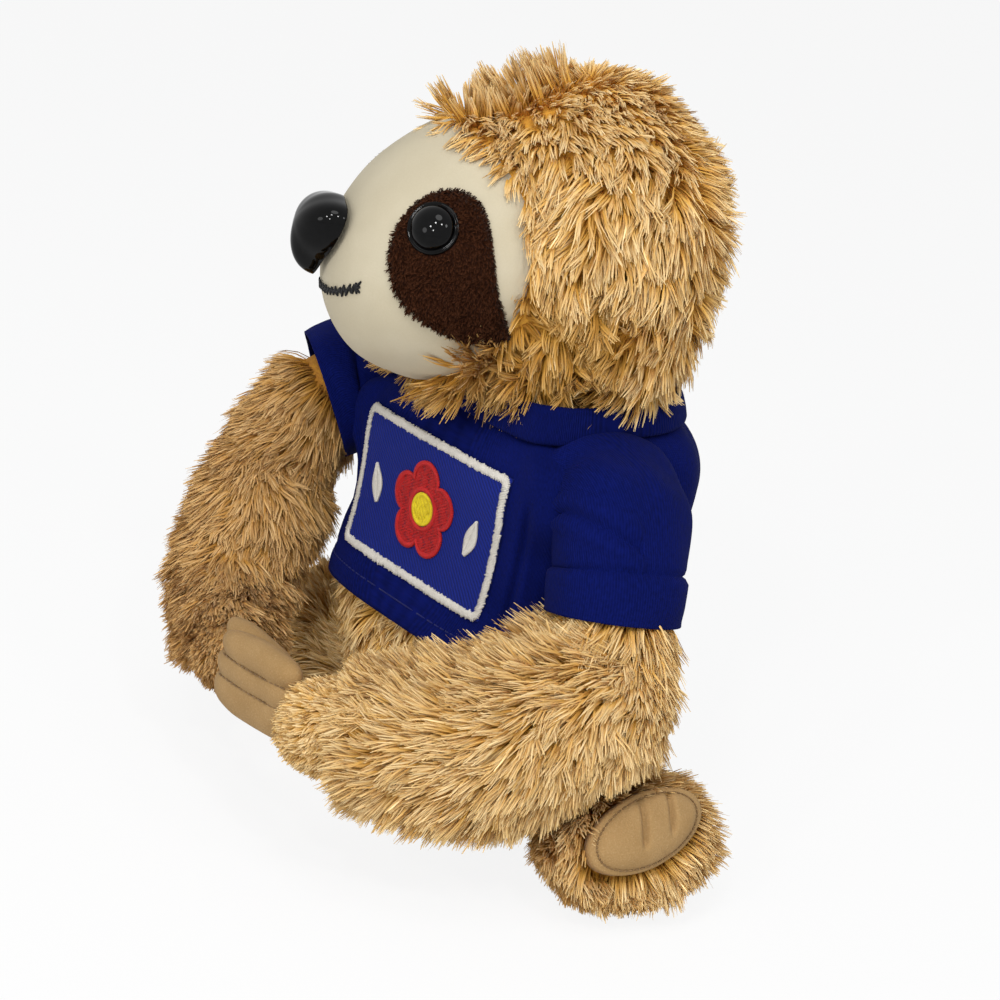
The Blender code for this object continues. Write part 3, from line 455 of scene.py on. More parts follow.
@dataclass(frozen=True)
class ThreadFinish(Finish):
    """Embroidery thread: a soft gloss with fine twisted plies."""

    dark: Triple
    light: Triple
    roughness: float = 0.5

    def paint(self, sketch: NodeSketch) -> None:
        """Add the finish's nodes.

        Args:
            sketch: The shader nodes to add to.
        """
        spot = sketch.place()
        plies = sketch.noise(spot, 5200, 3)
        wide = sketch.noise(spot, 420, 2)
        sketch.colour(sketch.ramp(sketch.sum(plies, wide, 0.5), ((0.5, self.dark), (0.95, self.light))))
        sketch.rough(plies, self.roughness * 0.8, min(self.roughness * 1.4, 1))
        sketch.bump(plies, 0.00012)
        sketch.set(Sheen_Weight=0.05, Specular_IOR_Level=0.25)


@dataclass(frozen=True)
class TwillFinish(Finish):
    """Woven patch cloth with diagonal lines."""

    dark: Triple
    light: Triple
    pitch: float = 0.00062

    def paint(self, sketch: NodeSketch) -> None:
        """Add the finish's nodes.

        Args:
            sketch: The shader nodes to add to.
        """
        spot = sketch.place((1, 1, 1), CLOTH_MAP)
        lines = sketch.wave(spot, math.pi / 10 / self.pitch, "DIAGONAL", 0.6)
        fuzz = sketch.noise(spot, 2600, 4)
        level = sketch.sum(lines, fuzz, 1.0)
        sketch.colour(sketch.ramp(level, ((0.3, self.dark), (1.3, self.light))))
        sketch.rough(fuzz, 0.7, 0.95)
        sketch.bump(level, 0.00016)
        sketch.set(Sheen_Weight=0.02, Specular_IOR_Level=0.15)


FUR = FurFinish(
    "golden_fur", (0.70, 0.355, 0.040), (0.80, 0.500, 0.140), (0.93, 0.740, 0.420), (0.54, 0.235, 0.022),
    0.8,
)
# Painted shade: a darker, browner copy of the golden fur for the far arm, standing in for the shade that
# falls on that arm.
FUR_PAINTED_SHADE = FurFinish(
    "painted_shade_fur", (0.50, 0.225, 0.022), (0.60, 0.330, 0.080), (0.76, 0.520, 0.250), (0.36, 0.140, 0.012),
    0.8,
)
PATCH_PILE = FurFinish(
    "brown_pile", (0.024, 0.0070, 0.0025), (0.042, 0.0135, 0.0055), (0.090, 0.034, 0.016),
    (0.012, 0.0035, 0.0012), sheen=0.01,
)
FACE = PileFinish(
    "cream_velvet", (0.515, 0.452, 0.322), (0.552, 0.490, 0.358), (0.590, 0.530, 0.400), 2400, 0.00005,
    0.08, 0.72, 0.25,
)
FELT = PileFinish(
    "brown_plush", (0.020, 0.0060, 0.0025), (0.036, 0.0115, 0.0055), (0.080, 0.030, 0.016), 3000, 0.0004,
    0.0,
)
SUEDE = PileFinish(
    "tan_suede", (0.335, 0.200, 0.078), (0.400, 0.250, 0.108), (0.520, 0.350, 0.175), 2600, 0.0002, 0.05,
    0.70, 0.4,
)
FIBRE = PileFinish("fibre_fill", (0.74, 0.74, 0.72), (0.84, 0.84, 0.82), (0.9, 0.9, 0.88), 900, 0.0008, 0.3)
LINING = PileFinish(
    "pouch_cloth", (0.50, 0.46, 0.38), (0.60, 0.55, 0.46), (0.66, 0.62, 0.54), 3600, 0.0002, 0.1
)
HOOKS = PileFinish(
    "hook_tape", (0.30, 0.21, 0.10), (0.42, 0.30, 0.16), (0.55, 0.42, 0.26), 1800, 0.0006, 0.05
)
LOOPS = PileFinish(
    "loop_tape", (0.48, 0.42, 0.32), (0.60, 0.53, 0.42), (0.70, 0.64, 0.54), 1500, 0.0006, 0.3
)
GLOSS = GlossFinish("black_gloss", (0.0004, 0.0004, 0.0005), 0.022)
WASHER = GlossFinish("washer_plastic", (0.55, 0.55, 0.53), 0.45)
JERSEY = KnitFinish(
    "blue_jersey", (0.0010, 0.0030, 0.040), (0.0032, 0.0075, 0.100), 0.00062, 0.0008, 0.00010
)
RIB = KnitFinish("blue_rib", (0.0010, 0.0028, 0.034), (0.0030, 0.0068, 0.088), 0.0009, 0.0010, 0.00014)
TWILL = TwillFinish("patch_twill", (0.0020, 0.0070, 0.085), (0.0060, 0.0160, 0.190))
WHITE_THREAD = ThreadFinish("white_thread", (0.54, 0.51, 0.45), (0.76, 0.72, 0.65))
RED_THREAD = ThreadFinish("red_thread", (0.36, 0.006, 0.008), (0.58, 0.015, 0.016))
YELLOW_THREAD = ThreadFinish("yellow_thread", (0.62, 0.44, 0.006), (0.86, 0.70, 0.02))
BLACK_THREAD = ThreadFinish("black_thread", (0.002, 0.002, 0.002), (0.010, 0.010, 0.011), 0.7)
BROWN_THREAD = ThreadFinish("brown_thread", (0.014, 0.005, 0.002), (0.035, 0.013, 0.006), 0.7)
TAN_THREAD = ThreadFinish("tan_thread", (0.12, 0.062, 0.020), (0.30, 0.180, 0.075), 0.6)
BLUE_THREAD = ThreadFinish("blue_thread", (0.0025, 0.005, 0.06), (0.006, 0.011, 0.13), 0.6)


# Mesh helpers
def signed_power(value: float, power: float) -> float:
    """Raise the size of a number to a power and keep its sign."""
    return math.copysign(abs(value) ** power, value)


def smooth_step(value: float) -> float:
    """Ease a value from 0 to 1."""
    value = min(max(value, 0.0), 1.0)
    return value * value * (3 - 2 * value)


def shown(name: str, mesh: Mesh, material: Material) -> Piece:
    """Link a finished mesh as a smooth shaded piece.

    Args:
        name: The piece's name.
        mesh: Its mesh.
        material: Its finish.

    Returns:
        The new object.
    """
    mesh.name = name
    mesh.materials.append(material)
    mesh.shade_smooth()
    return hang(name, mesh)


def hang(name: str, data: bpy.types.ID) -> Piece:
    """Put an object with its data in the scene.

    Args:
        name: The object's name.
        data: Its mesh, lamp or camera.

    Returns:
        The object.
    """
    made = bpy.data.objects.new(name, data)
    bpy.context.scene.collection.objects.link(made)
    return made


def mesh_of(form: Form, matrix: Matrix | None = None) -> Mesh:
    """Turn a bmesh into a mesh with its faces pointing out.

    Args:
        form: The bmesh, which is freed.
        matrix: Where it is put.

    Returns:
        The mesh.
    """
    if matrix is not None:
        form.transform(matrix)
    form.normal_update()
    bmesh.ops.recalc_face_normals(form, faces=form.faces)
    mesh = bpy.data.meshes.new("form")
    form.to_mesh(mesh)
    form.free()
    return mesh


def unit_ball(segments: int, rings: int) -> Form:
    """Make a unit ball with its poles on Z, whose faces come in the same order each run.

    Args:
        segments: Faces round it.
        rings: Faces from pole to pole.

    Returns:
        The bmesh.
    """
    ball = bmesh.new()
    rows = []
    for ring in range(rings + 1):
        polar = math.pi * ring / rings
        rise, out = math.cos(polar), math.sin(polar)
        turns = [2 * math.pi * step / segments for step in range(segments if 0 < ring < rings else 1)]
        rows.append([ball.verts.new((out * math.cos(turn), out * math.sin(turn), rise)) for turn in turns])
    for upper, lower in zip(rows, rows[1:]):
        for step in range(segments):
            here, after = step, (step + 1) % segments
            corners = [
                row[place % len(row)] for row,
                place in ((upper, here), (lower, here), (lower, after), (upper, after))
            ]
            ball.faces.new(tuple(dict.fromkeys(corners)))
    return ball


def woven(
    columns: int, rows: int, place: PlaceRule, wrap: bool = True, merge: float = 0.0,
    size: Pair | None = None, matrix: Matrix | None = None,
) -> Mesh:
    """Make a net of four-sided faces from a place rule.

    Args:
        columns: Faces along the first share.
        rows: Faces along the second share.
        place: Gives a point for two shares from 0 to 1.
        wrap: Whether the first share closes on itself.
        merge: Points nearer than this become one and faces are turned out; 0 leaves them.
        size: The width and height in metres of its cloth chart, if it has one.
        matrix: Where a merged net is put.

    Returns:
        The mesh.
    """
    width = columns if wrap else columns + 1
    shares = [(column / columns, row / rows) for row in range(rows + 1) for column in range(width)]
    faces = []
    for row in range(rows):
        for column in range(columns):
            after = (column + 1) % width
            low, high = row * width, (row + 1) * width
            faces.append((low + column, low + after, high + after, high + column))
    mesh = bpy.data.meshes.new("net")
    mesh.from_pydata([tuple(place(*share)) for share in shares], [], faces)
    if size is not None:
        charted(mesh, [(across * size[0], up * size[1]) for across, up in shares])
        mend_wrap(mesh, size[0])
    if not merge:
        return mesh
    form = bmesh.new()
    form.from_mesh(mesh)
    bmesh.ops.remove_doubles(form, verts=form.verts, dist=merge)
    return mesh_of(form, matrix)


def charted(mesh: Mesh, spots: Sequence[Pair], name: str = CLOTH_MAP) -> None:
    """Give a mesh a flat chart from one place for each point.

    Args:
        mesh: The mesh.
        spots: A flat place for each point.
        name: The chart's name.
    """
    chart = mesh.uv_layers.new(name=name)
    corners = np.empty(len(mesh.loops), dtype=np.int32)
    mesh.loops.foreach_get("vertex_index", corners)
    chart.data.foreach_set("uv", np.asarray(spots, dtype=np.float32)[corners].ravel())


def mend_wrap(mesh: Mesh, width: float) -> None:
    """Keep the chart whole where a tube's last column meets its first.

    Args:
        mesh: The tube's mesh.
        width: The chart's full width.
    """
    chart = mesh.uv_layers[CLOTH_MAP].data
    for polygon in mesh.polygons:
        spots = [chart[index].uv.copy() for index in polygon.loop_indices]
        if max(s.x for s in spots) - min(s.x for s in spots) > width / 2:
            for index, spot in zip(polygon.loop_indices, spots):
                if spot.x < width / 2:
                    chart[index].uv = (spot.x + width, spot.y)


def thicken(piece: Piece, centre: Vector, thickness: float, offset: int = -1) -> None:
    """Turn an open cloth's faces away from a centre and give it its thickness.

    Args:
        piece: The cloth.
        centre: A place inside it.
        thickness: How thick it is.
        offset: -1 where the thickness lies inside its surface, 1 outside.
    """
    inward = sum((p.center - centre).dot(p.normal) < 0 for p in piece.data.polygons)
    if inward > len(piece.data.polygons) / 2:
        piece.data.flip_normals()
    add_modifier(piece, "SOLIDIFY", thickness=thickness, offset=offset)


def look_along(origin: Vector, direction: Vector) -> Matrix:
    """Return a frame whose Z points along a direction and whose Y leans up.

    Args:
        origin: Where the frame is.
        direction: Where its Z points.

    Returns:
        The frame.
    """
    forward = Vector(direction).normalized()
    side = Vector((0, 0, 1)).cross(forward).normalized()
    turn = Matrix((side, forward.cross(side), forward)).transposed().to_4x4()
    return Matrix.Translation(origin) @ turn


def add_modifier(piece: Piece, kind: str, **settings: object) -> None:
    """Add a modifier to a piece.

    Args:
        piece: The piece.
        kind: The modifier's type.
        settings: Its values.
    """
    modifier = piece.modifiers.new(kind.lower(), kind)
    for key, value in settings.items():
        setattr(modifier, key, value)


def settle(piece: Piece) -> None:
    """Apply all of a piece's modifiers to its mesh.

    Args:
        piece: The piece.
    """
    graph = bpy.context.evaluated_depsgraph_get()
    mesh = bpy.data.meshes.new_from_object(piece.evaluated_get(graph))
    piece.modifiers.clear()
    piece.data = mesh
    piece.data.shade_smooth()


def join_up(name: str, bodies: Iterable[tuple[Array, Array]], material: Material) -> Piece:
    """Make one piece from many small bodies of points and four-sided faces.

    Args:
        name: The piece's name.
        bodies: Points and faces of each body.
        material: The finish.

    Returns:
        The piece.
    """
    points, faces, start = [], [], 0
    for spots, sides in bodies:
        points.append(spots)
        faces.append(sides + start)
        start += len(spots)
    return net_piece(name, np.concatenate(points), np.concatenate(faces), material)


def net_piece(name: str, points: Array, faces: Array, material: Material) -> Piece:
    """Make a piece from arrays of points and four-sided faces.

    Args:
        name: The piece's name.
        points: The points, one row each.
        faces: Four point numbers in each row.
        material: The finish.

    Returns:
        The piece.
    """
    mesh = bpy.data.meshes.new(name)
    mesh.vertices.add(len(points))
    mesh.vertices.foreach_set("co", np.asarray(points, dtype=np.float32).ravel())
    mesh.loops.add(faces.size)
    mesh.loops.foreach_set("vertex_index", faces.astype(np.int32).ravel())
    mesh.polygons.add(len(faces))
    mesh.polygons.foreach_set("loop_start", np.arange(0, faces.size, 4, dtype=np.int32))
    mesh.update(calc_edges=True)
    mesh.validate()
    return shown(name, mesh, material)


class Needle:
    """Sews raised stitches: small rounded threads laid over a cloth."""

    def __init__(self) -> None:
        """Start with no stitches."""
        self.bodies: list[tuple[Array, Array]] = []

    def stitch(self, line: Sequence[Vector], ups: Sequence[Vector], width: float, rise: float) -> None:
        """Lay one closed thread along a line.

        Args:
            line: Places on the cloth that the thread follows.
            ups: The cloth's outward direction at each place.
            width: The thread's width.
            rise: How high it stands in its middle.
        """
        count = len(line)
        rows = []
        for index, (spot, up) in enumerate(zip(line, ups)):
            ahead = (line[min(index + 1, count - 1)] - line[max(index - 1, 0)]).normalized()
            across = ahead.cross(up).normalized() * (width / 2)
            lift = math.sin(math.pi * (index + 0.35) / (count - 0.3)) ** 0.5
            narrow = 0.45 + 0.55 * lift
            top = up * (rise * lift)
            for side, height in ((1, -0.15), (0.62, 0.72), (-0.62, 0.72), (-1, -0.15)):
                rows.append(spot + across * (side * narrow) + top * height + up * (rise * 0.1))
        faces = []
        for index in range(count - 1):
            for corner in range(4):
                after = (corner + 1) % 4
                low, high = index * 4, index * 4 + 4
                faces.append((low + corner, low + after, high + after, high + corner))
        last = (count - 1) * 4
        faces.append((3, 2, 1, 0))
        faces.append((last, last + 1, last + 2, last + 3))
        self.bodies.append((np.array([tuple(row) for row in rows]), np.array(faces)))

    def sew_row(
        self, count: int, shares: Sequence[float], spot_at: Callable[[float], tuple[Vector, Vector]],
        width: float, rise: float,
    ) -> None:
        """Sew a row of short stitches.

        Args:
            count: How many stitches the row has.
            shares: Where each stitch's places lie in its part of the row.
            spot_at: Gives a place and its outward direction for a share of the row.
            width: The thread's width.
            rise: How high it stands.
        """
        for index in range(count):
            line = [spot_at((index + share) / count) for share in shares]
            self.stitch([spot for spot, _ in line], [up for _, up in line], width, rise)

    def finish(self, name: str, material: Material) -> Piece:
        """Make one piece of all the stitches."""
        return join_up(name, self.bodies, material)


# Fur
@dataclass
class FurCoat:
    """How the pile of one furry piece grows: clumps of curved, tapering strands."""

    name: str
    seed: int
    clumps: int
    comb: Callable[[Array, Array], Array]
    keep: SpotRule | None = None
    strands: int = 6
    length: float = 0.0085
    length_rule: SpotRule | None = None
    root_lift_deg: float = 58.0
    tip_lift_deg: float = 12.0
    clump_radius: float = 0.0011
    tightness: float = 0.5
    width: float = 0.00038
    lock_deg: float = 13.0
    lock_length: float = 0.009
    stray_deg: float = 6.0
    curl_deg: float = 12.0
    droop: float = 0.06
    segments: int = 3
    tones: Pair = (0.1, 0.96)
    sink: float = 0.0004
    glitter_share: float = 0.03
    tone_rule: SpotRule | None = None

    def grow(self, base: Piece, material: Material) -> Piece:
        """Grow the pile on a piece of cloth.

        Args:
            base: The cloth that the strands root in.
            material: The strands' finish.

        Returns:
            The pile as one piece.
        """
        rng = np.random.default_rng(self.seed)
        centres, normals = self.scatter(base, rng)
        combed = self.comb(centres, normals)
        combed /= np.linalg.norm(combed, axis=1, keepdims=True) + 1e-9
        raised = np.clip(np.sum(combed * normals, axis=1), 0, 1)
        flow = combed - normals * np.sum(combed * normals, axis=1, keepdims=True)
        flow /= np.linalg.norm(flow, axis=1, keepdims=True) + 1e-9
        stray = self.lock_deg * ripple(centres, self.lock_length, self.seed)
        stray = np.radians(stray + self.stray_deg * rng.standard_normal(len(centres)))
        flow, across = turned(flow, np.cross(normals, flow), stray)

        number = self.strands
        total = len(centres) * number
        group = np.repeat(np.arange(len(centres)), number)
        reach = self.clump_radius * np.sqrt(rng.random(total))
        angle = rng.random(total) * 2 * math.pi
        clump_length = self.length * (1 + 0.10 * ripple(centres, self.lock_length, self.seed + 1))
        clump_length *= 0.88 + 0.24 * rng.random(len(centres))
        if self.length_rule is not None:
            clump_length *= self.length_rule(centres)
        length = clump_length[group] * (0.85 + 0.25 * rng.random(total))
        root_lift = np.radians(
            self.root_lift_deg + 22 * raised + 7 * rng.standard_normal(len(centres))
        )[group]
        root_lift += np.radians(5) * rng.standard_normal(total)
        tip_lift = np.radians(
            self.tip_lift_deg + 42 * raised + 7 * rng.standard_normal(len(centres))
        )[group]
        curl = np.radians(self.curl_deg) * (
            rng.standard_normal(len(centres)) + 1.6 * ripple(centres, 0.006, self.seed + 2)
        )[group]
        curl += np.radians(self.curl_deg * 0.4) * rng.standard_normal(total)
        ahead, sideways, up = flow[group], across[group], normals[group]
        offset = ahead * (reach * np.cos(angle))[:, None] + sideways * (reach * np.sin(angle))[:, None]
        start = centres[group] - up * self.sink

        spots, path = [], np.zeros((total, 3))
        steps = self.segments
        for step in range(steps + 1):
            share = step / steps
            spots.append(start + offset * (1 - self.tightness * share ** 1.2) + path)
            middle = (step + 0.5) / steps
            lift = root_lift + (tip_lift - root_lift) * middle
            sway = curl * middle
            flat = ahead * np.cos(sway)[:, None] + sideways * np.sin(sway)[:, None]
            heading = flat * np.cos(lift)[:, None] + up * np.sin(lift)[:, None]
            heading[:, 2] -= self.droop * middle * 2
            path = path + heading * (length / steps)[:, None]
        spots = np.stack(spots, axis=1)
        spots[:, :, 2] = np.maximum(spots[:, :, 2], FLOOR_CLEAR + 0.0004 * rng.random((total, 1)))
        return self.ribbons(spots, up, rng, material, group)

    def scatter(self, base: Piece, rng: np.random.Generator) -> tuple[Array, Array]:
        """Spread the clumps evenly over the cloth.

        Args:
            base: The cloth.
            rng: The seeded source of chance.

        Returns:
            The clumps' places and outward directions.
        """
        graph = bpy.context.evaluated_depsgraph_get()
        mesh = base.evaluated_get(graph).to_mesh()
        mesh.calc_loop_triangles()
        places = np.empty(len(mesh.vertices) * 3)
        mesh.vertices.foreach_get("co", places)
        places = places.reshape(-1, 3)
        directions = np.empty(len(mesh.vertices) * 3)
        mesh.vertices.foreach_get("normal", directions)
        directions = directions.reshape(-1, 3)
        corners = np.empty(len(mesh.loop_triangles) * 3, dtype=np.int32)
        mesh.loop_triangles.foreach_get("vertices", corners)
        corners = corners.reshape(-1, 3)
        one, two, three = (places[corners[:, index]] for index in range(3))
        areas = np.linalg.norm(np.cross(two - one, three - one), axis=1)
        if self.keep is not None:
            areas = areas * self.keep((one + two + three) / 3)
        pick = np.searchsorted(
            np.cumsum(areas), (np.arange(self.clumps) + rng.random(self.clumps)) / self.clumps * areas.sum()
        )
        pick = np.minimum(pick, len(areas) - 1)
        first, second = np.sqrt(rng.random(self.clumps)), rng.random(self.clumps)
        weights = np.stack([1 - first, first * (1 - second), first * second], axis=1)
        spots = np.einsum("ij,ijk->ik", weights, places[corners[pick]])
        outward = np.einsum("ij,ijk->ik", weights, directions[corners[pick]])
        outward /= np.linalg.norm(outward, axis=1, keepdims=True)
        return spots, outward

    def ribbons(
        self, spots: Array, up: Array, rng: np.random.Generator, material: Material, group: Array
    ) -> Piece:
        """Turn the strands' middle lines into tapering ribbons.

        Args:
            spots: The strands' places, root to tip.
            up: The cloth's outward direction at each strand.
            rng: The seeded source of chance.
            material: The finish.
            group: Which clump each strand belongs to.

        Returns:
            The pile as one piece.
        """
        total, rows = spots.shape[:2]
        heading = np.gradient(spots, axis=1)
        heading /= np.linalg.norm(heading, axis=2, keepdims=True) + 1e-12
        side = np.cross(heading, up[:, None, :])
        side /= np.linalg.norm(side, axis=2, keepdims=True) + 1e-12
        other = np.cross(heading, side)
        twist = np.radians(38) * rng.standard_normal(total)
        side = side * np.cos(twist)[:, None, None] + other * np.sin(twist)[:, None, None]
        share = np.linspace(0, 1, rows)
        taper = 1 - 0.62 * np.clip((share - 0.65) / 0.35, 0, 1) ** 1.6
        half = self.width / 2 * (0.7 + 0.6 * rng.random(total))[:, None] * taper[None, :]
        left = spots - side * half[:, :, None]
        right = spots + side * half[:, :, None]
        points = np.stack([left, right], axis=2).reshape(-1, 3)
        points[:, 2] = np.maximum(points[:, 2], FLOOR_CLEAR)
        first = (np.arange(total) * rows * 2)[:, None] + (np.arange(rows - 1) * 2)[None, :]
        faces = np.stack([first, first + 1, first + 3, first + 2], axis=2).reshape(-1, 4)
        piece = net_piece(self.name, points, faces, material)
        low, high = self.tones
        tone = low + (high - low) * np.clip(
            0.62 * rng.random(group.max() + 1)[group] + 0.38 * rng.random(total), 0, 1
        )
        if self.tone_rule is not None:
            tone = tone * self.tone_rule(spots[:, 0])
        column = np.minimum((tone * FUR_COLUMNS).astype(int), FUR_COLUMNS - 3)
        column = np.where(rng.random(total) < self.glitter_share, FUR_COLUMNS - 1, column)
        chart = np.empty((total, rows, 2, 2))
        chart[:, :, 0, 0] = ((column + 0.12) / FUR_COLUMNS)[:, None]
        chart[:, :, 1, 0] = ((column + 0.88) / FUR_COLUMNS)[:, None]
        chart[:, :, :, 1] = (0.02 + 0.96 * share)[None, :, None]
        charted(piece.data, chart.reshape(-1, 2), BAKE_MAP)
        return piece


def ripple(spots: Array, length: float, seed: int) -> Array:
    """Give a smooth chance value round 0 at each place, the same one in each run.

    Args:
        spots: The places.
        length: How far apart the crests lie.
        seed: Which pattern.

    Returns:
        The values.
    """
    rng = np.random.default_rng(seed)
    waves = rng.standard_normal((7, 3)) * (2 * math.pi / length / math.sqrt(3))
    phases = rng.random(7) * 2 * math.pi
    return np.sin(spots @ waves.T + phases[None, :]).sum(axis=1) / math.sqrt(3.5)


def ease_in(values: Array) -> Array:
    """Ease each value from 0 to 1."""
    values = np.clip(values, 0, 1)
    return values * values * (3 - 2 * values)


def turned(first: Array, second: Array, angle: Array) -> tuple[Array, Array]:
    """Turn pairs of directions in their own planes.

    Args:
        first: The first direction of each pair.
        second: The second direction of each pair.
        angle: How far each pair turns.

    Returns:
        The turned directions.
    """
    cosine, sine = np.cos(angle)[:, None], np.sin(angle)[:, None]
    return first * cosine + second * sine, second * cosine - first * sine


def declare(piece: Piece, body: Body | None, slot: str, *nodes: str) -> Piece:
    """Attach a piece to the body that it rides on and hide the part's nodes that it stands for.

    Args:
        piece: The piece.
        body: The body that it rides on, or none to leave it unattached.
        slot: Not used.
        nodes: The nodes that it replaces.

    Returns:
        The same piece.
    """
    if body is not None:
        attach(piece, body.value)
    if nodes:
        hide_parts(*nodes)
    log.info("%s: %d faces", piece.name, len(piece.data.polygons))
    return piece


# Shapes repeated from the part
@dataclass
class TorsoShape:
    """The stuffed body: its size rows by height and its squarish sections."""

    height: float = 0.105
    half_width: float = 0.0365
    half_depth: float = 0.031
    lean: float = 0.0096
    seat_back: float = 0.006
    floor_cut: float = 0.0005
    rows: Rows = (
        (0.00, 0.90, 0.90, 0.00),
        (0.22, 0.98, 0.98, 0.00),
        (0.45, 1.00, 0.99, 0.06),
        (0.60, 0.96, 0.93, 0.45),
        (0.75, 0.96, 0.93, 0.66),
        (0.90, 1.00, 1.02, 0.82),
        (1.00, 1.00, 1.02, 0.86),
    )
    rounds: Pair = (0.60, 0.40)
    rises: Pair = (0.70, 0.45)

    def level(self, share: float) -> list[float]:
        """Blend the size rows smoothly.

        Args:
            share: The height as a share.

        Returns:
            The width, depth and lean shares there.
        """
        rows = self.rows
        share = min(max(share, rows[0][0]), rows[-1][0])
        index = next(i for i in range(len(rows) - 1) if share <= rows[i + 1][0])
        low, high = rows[index], rows[index + 1]
        before, after = rows[max(index - 1, 0)], rows[min(index + 2, len(rows) - 1)]
        span = high[0] - low[0]
        step = (share - low[0]) / span
        values = []
        for column in (1, 2, 3):
            start_slope = (high[column] - before[column]) / (high[0] - before[0])
            end_slope = (after[column] - low[column]) / (after[0] - low[0])
            values.append(
                (2 * step ** 3 - 3 * step ** 2 + 1) * low[column]
                + (step ** 3 - 2 * step ** 2 + step) * start_slope * span
                + (3 * step ** 2 - 2 * step ** 3) * high[column]
                + (step ** 3 - step ** 2) * end_slope * span
            )
        return values

    def section(self, up: float) -> Triple:
        """Give half width, half depth and the middle's Y at a height."""
        width, depth, lean = self.level(up / self.height)
        return width * self.half_width, depth * self.half_depth, self.seat_back + lean * self.lean

    def power(self, up: float, front: bool) -> float:
        """Give how square the section is: the chest is flatter than the back."""
        flat = 5.5 if front else 2.8
        return 2.3 + (flat - 2.3) * smooth_step((up / self.height - 0.35) / 0.25)

    def reach(self, up: float) -> float:
        """Give the width share at a height, which closes the ends.

        Args:
            up: The height.

        Returns:
            The share of the full width.
        """
        rise = min(max((up + self.floor_cut) / (self.height + self.floor_cut), 0), 1)
        upper = int(rise > 0.5)
        polar = math.acos(signed_power(1 - 2 * rise, 1 / self.rises[upper]))
        return math.sin(polar) ** self.rounds[upper]

    def point(self, polar: float, turn: float, swell: float = 0.0) -> Vector:
        """Give the surface at an angle up from the base and round the middle.

        Args:
            polar: The angle up from the base.
            turn: The angle round the middle.
            swell: How far the point lies outside the surface.

        Returns:
            The point.
        """
        upper = int(polar > math.pi / 2)
        rise = (1 - signed_power(math.cos(polar), self.rises[upper])) / 2
        reach = math.sin(polar) ** self.rounds[upper]
        up = rise * (self.height + self.floor_cut) - self.floor_cut
        half_width, half_depth, middle = self.section(max(up, 0))
        power = 2 / self.power(up, math.sin(turn) < 0)
        side = (half_width * reach + swell) * signed_power(math.cos(turn), power)
        back = middle + (half_depth * reach + swell) * signed_power(math.sin(turn), power)
        return Vector((side, back, up - swell * math.cos(polar)))

    def ring(self, up: float, turn: float, clearance: float) -> Vector:
        """Give a place on a ring of cloth round the body.

        Args:
            up: The height.
            turn: The angle round the middle.
            clearance: How far the cloth stands off.

        Returns:
            The point.
        """
        half_width, half_depth, middle = self.section(up)
        reach = self.reach(up)
        power = 2 / self.power(up, math.sin(turn) < 0)
        side = (half_width * reach + clearance) * signed_power(math.cos(turn), power)
        back = middle + (half_depth * reach + clearance) * signed_power(math.sin(turn), power)
        return Vector((side, back, up))

    def chest(self, side: float, up: float, proud: float) -> Vector:
        """Give a place on the chest, standing proud of the body.

        Args:
            side: Its X.
            up: Its height.
            proud: How far it stands proud.

        Returns:
            The point.
        """
        half_width, half_depth, middle = self.section(up)
        power = self.power(up, True)
        reach = self.reach(up)
        share = min(abs(side) / (half_width * reach + proud), 1)
        depth = (half_depth * reach + proud) * (1 - share ** power) ** (1 / power)
        return Vector((side, middle - depth, up))


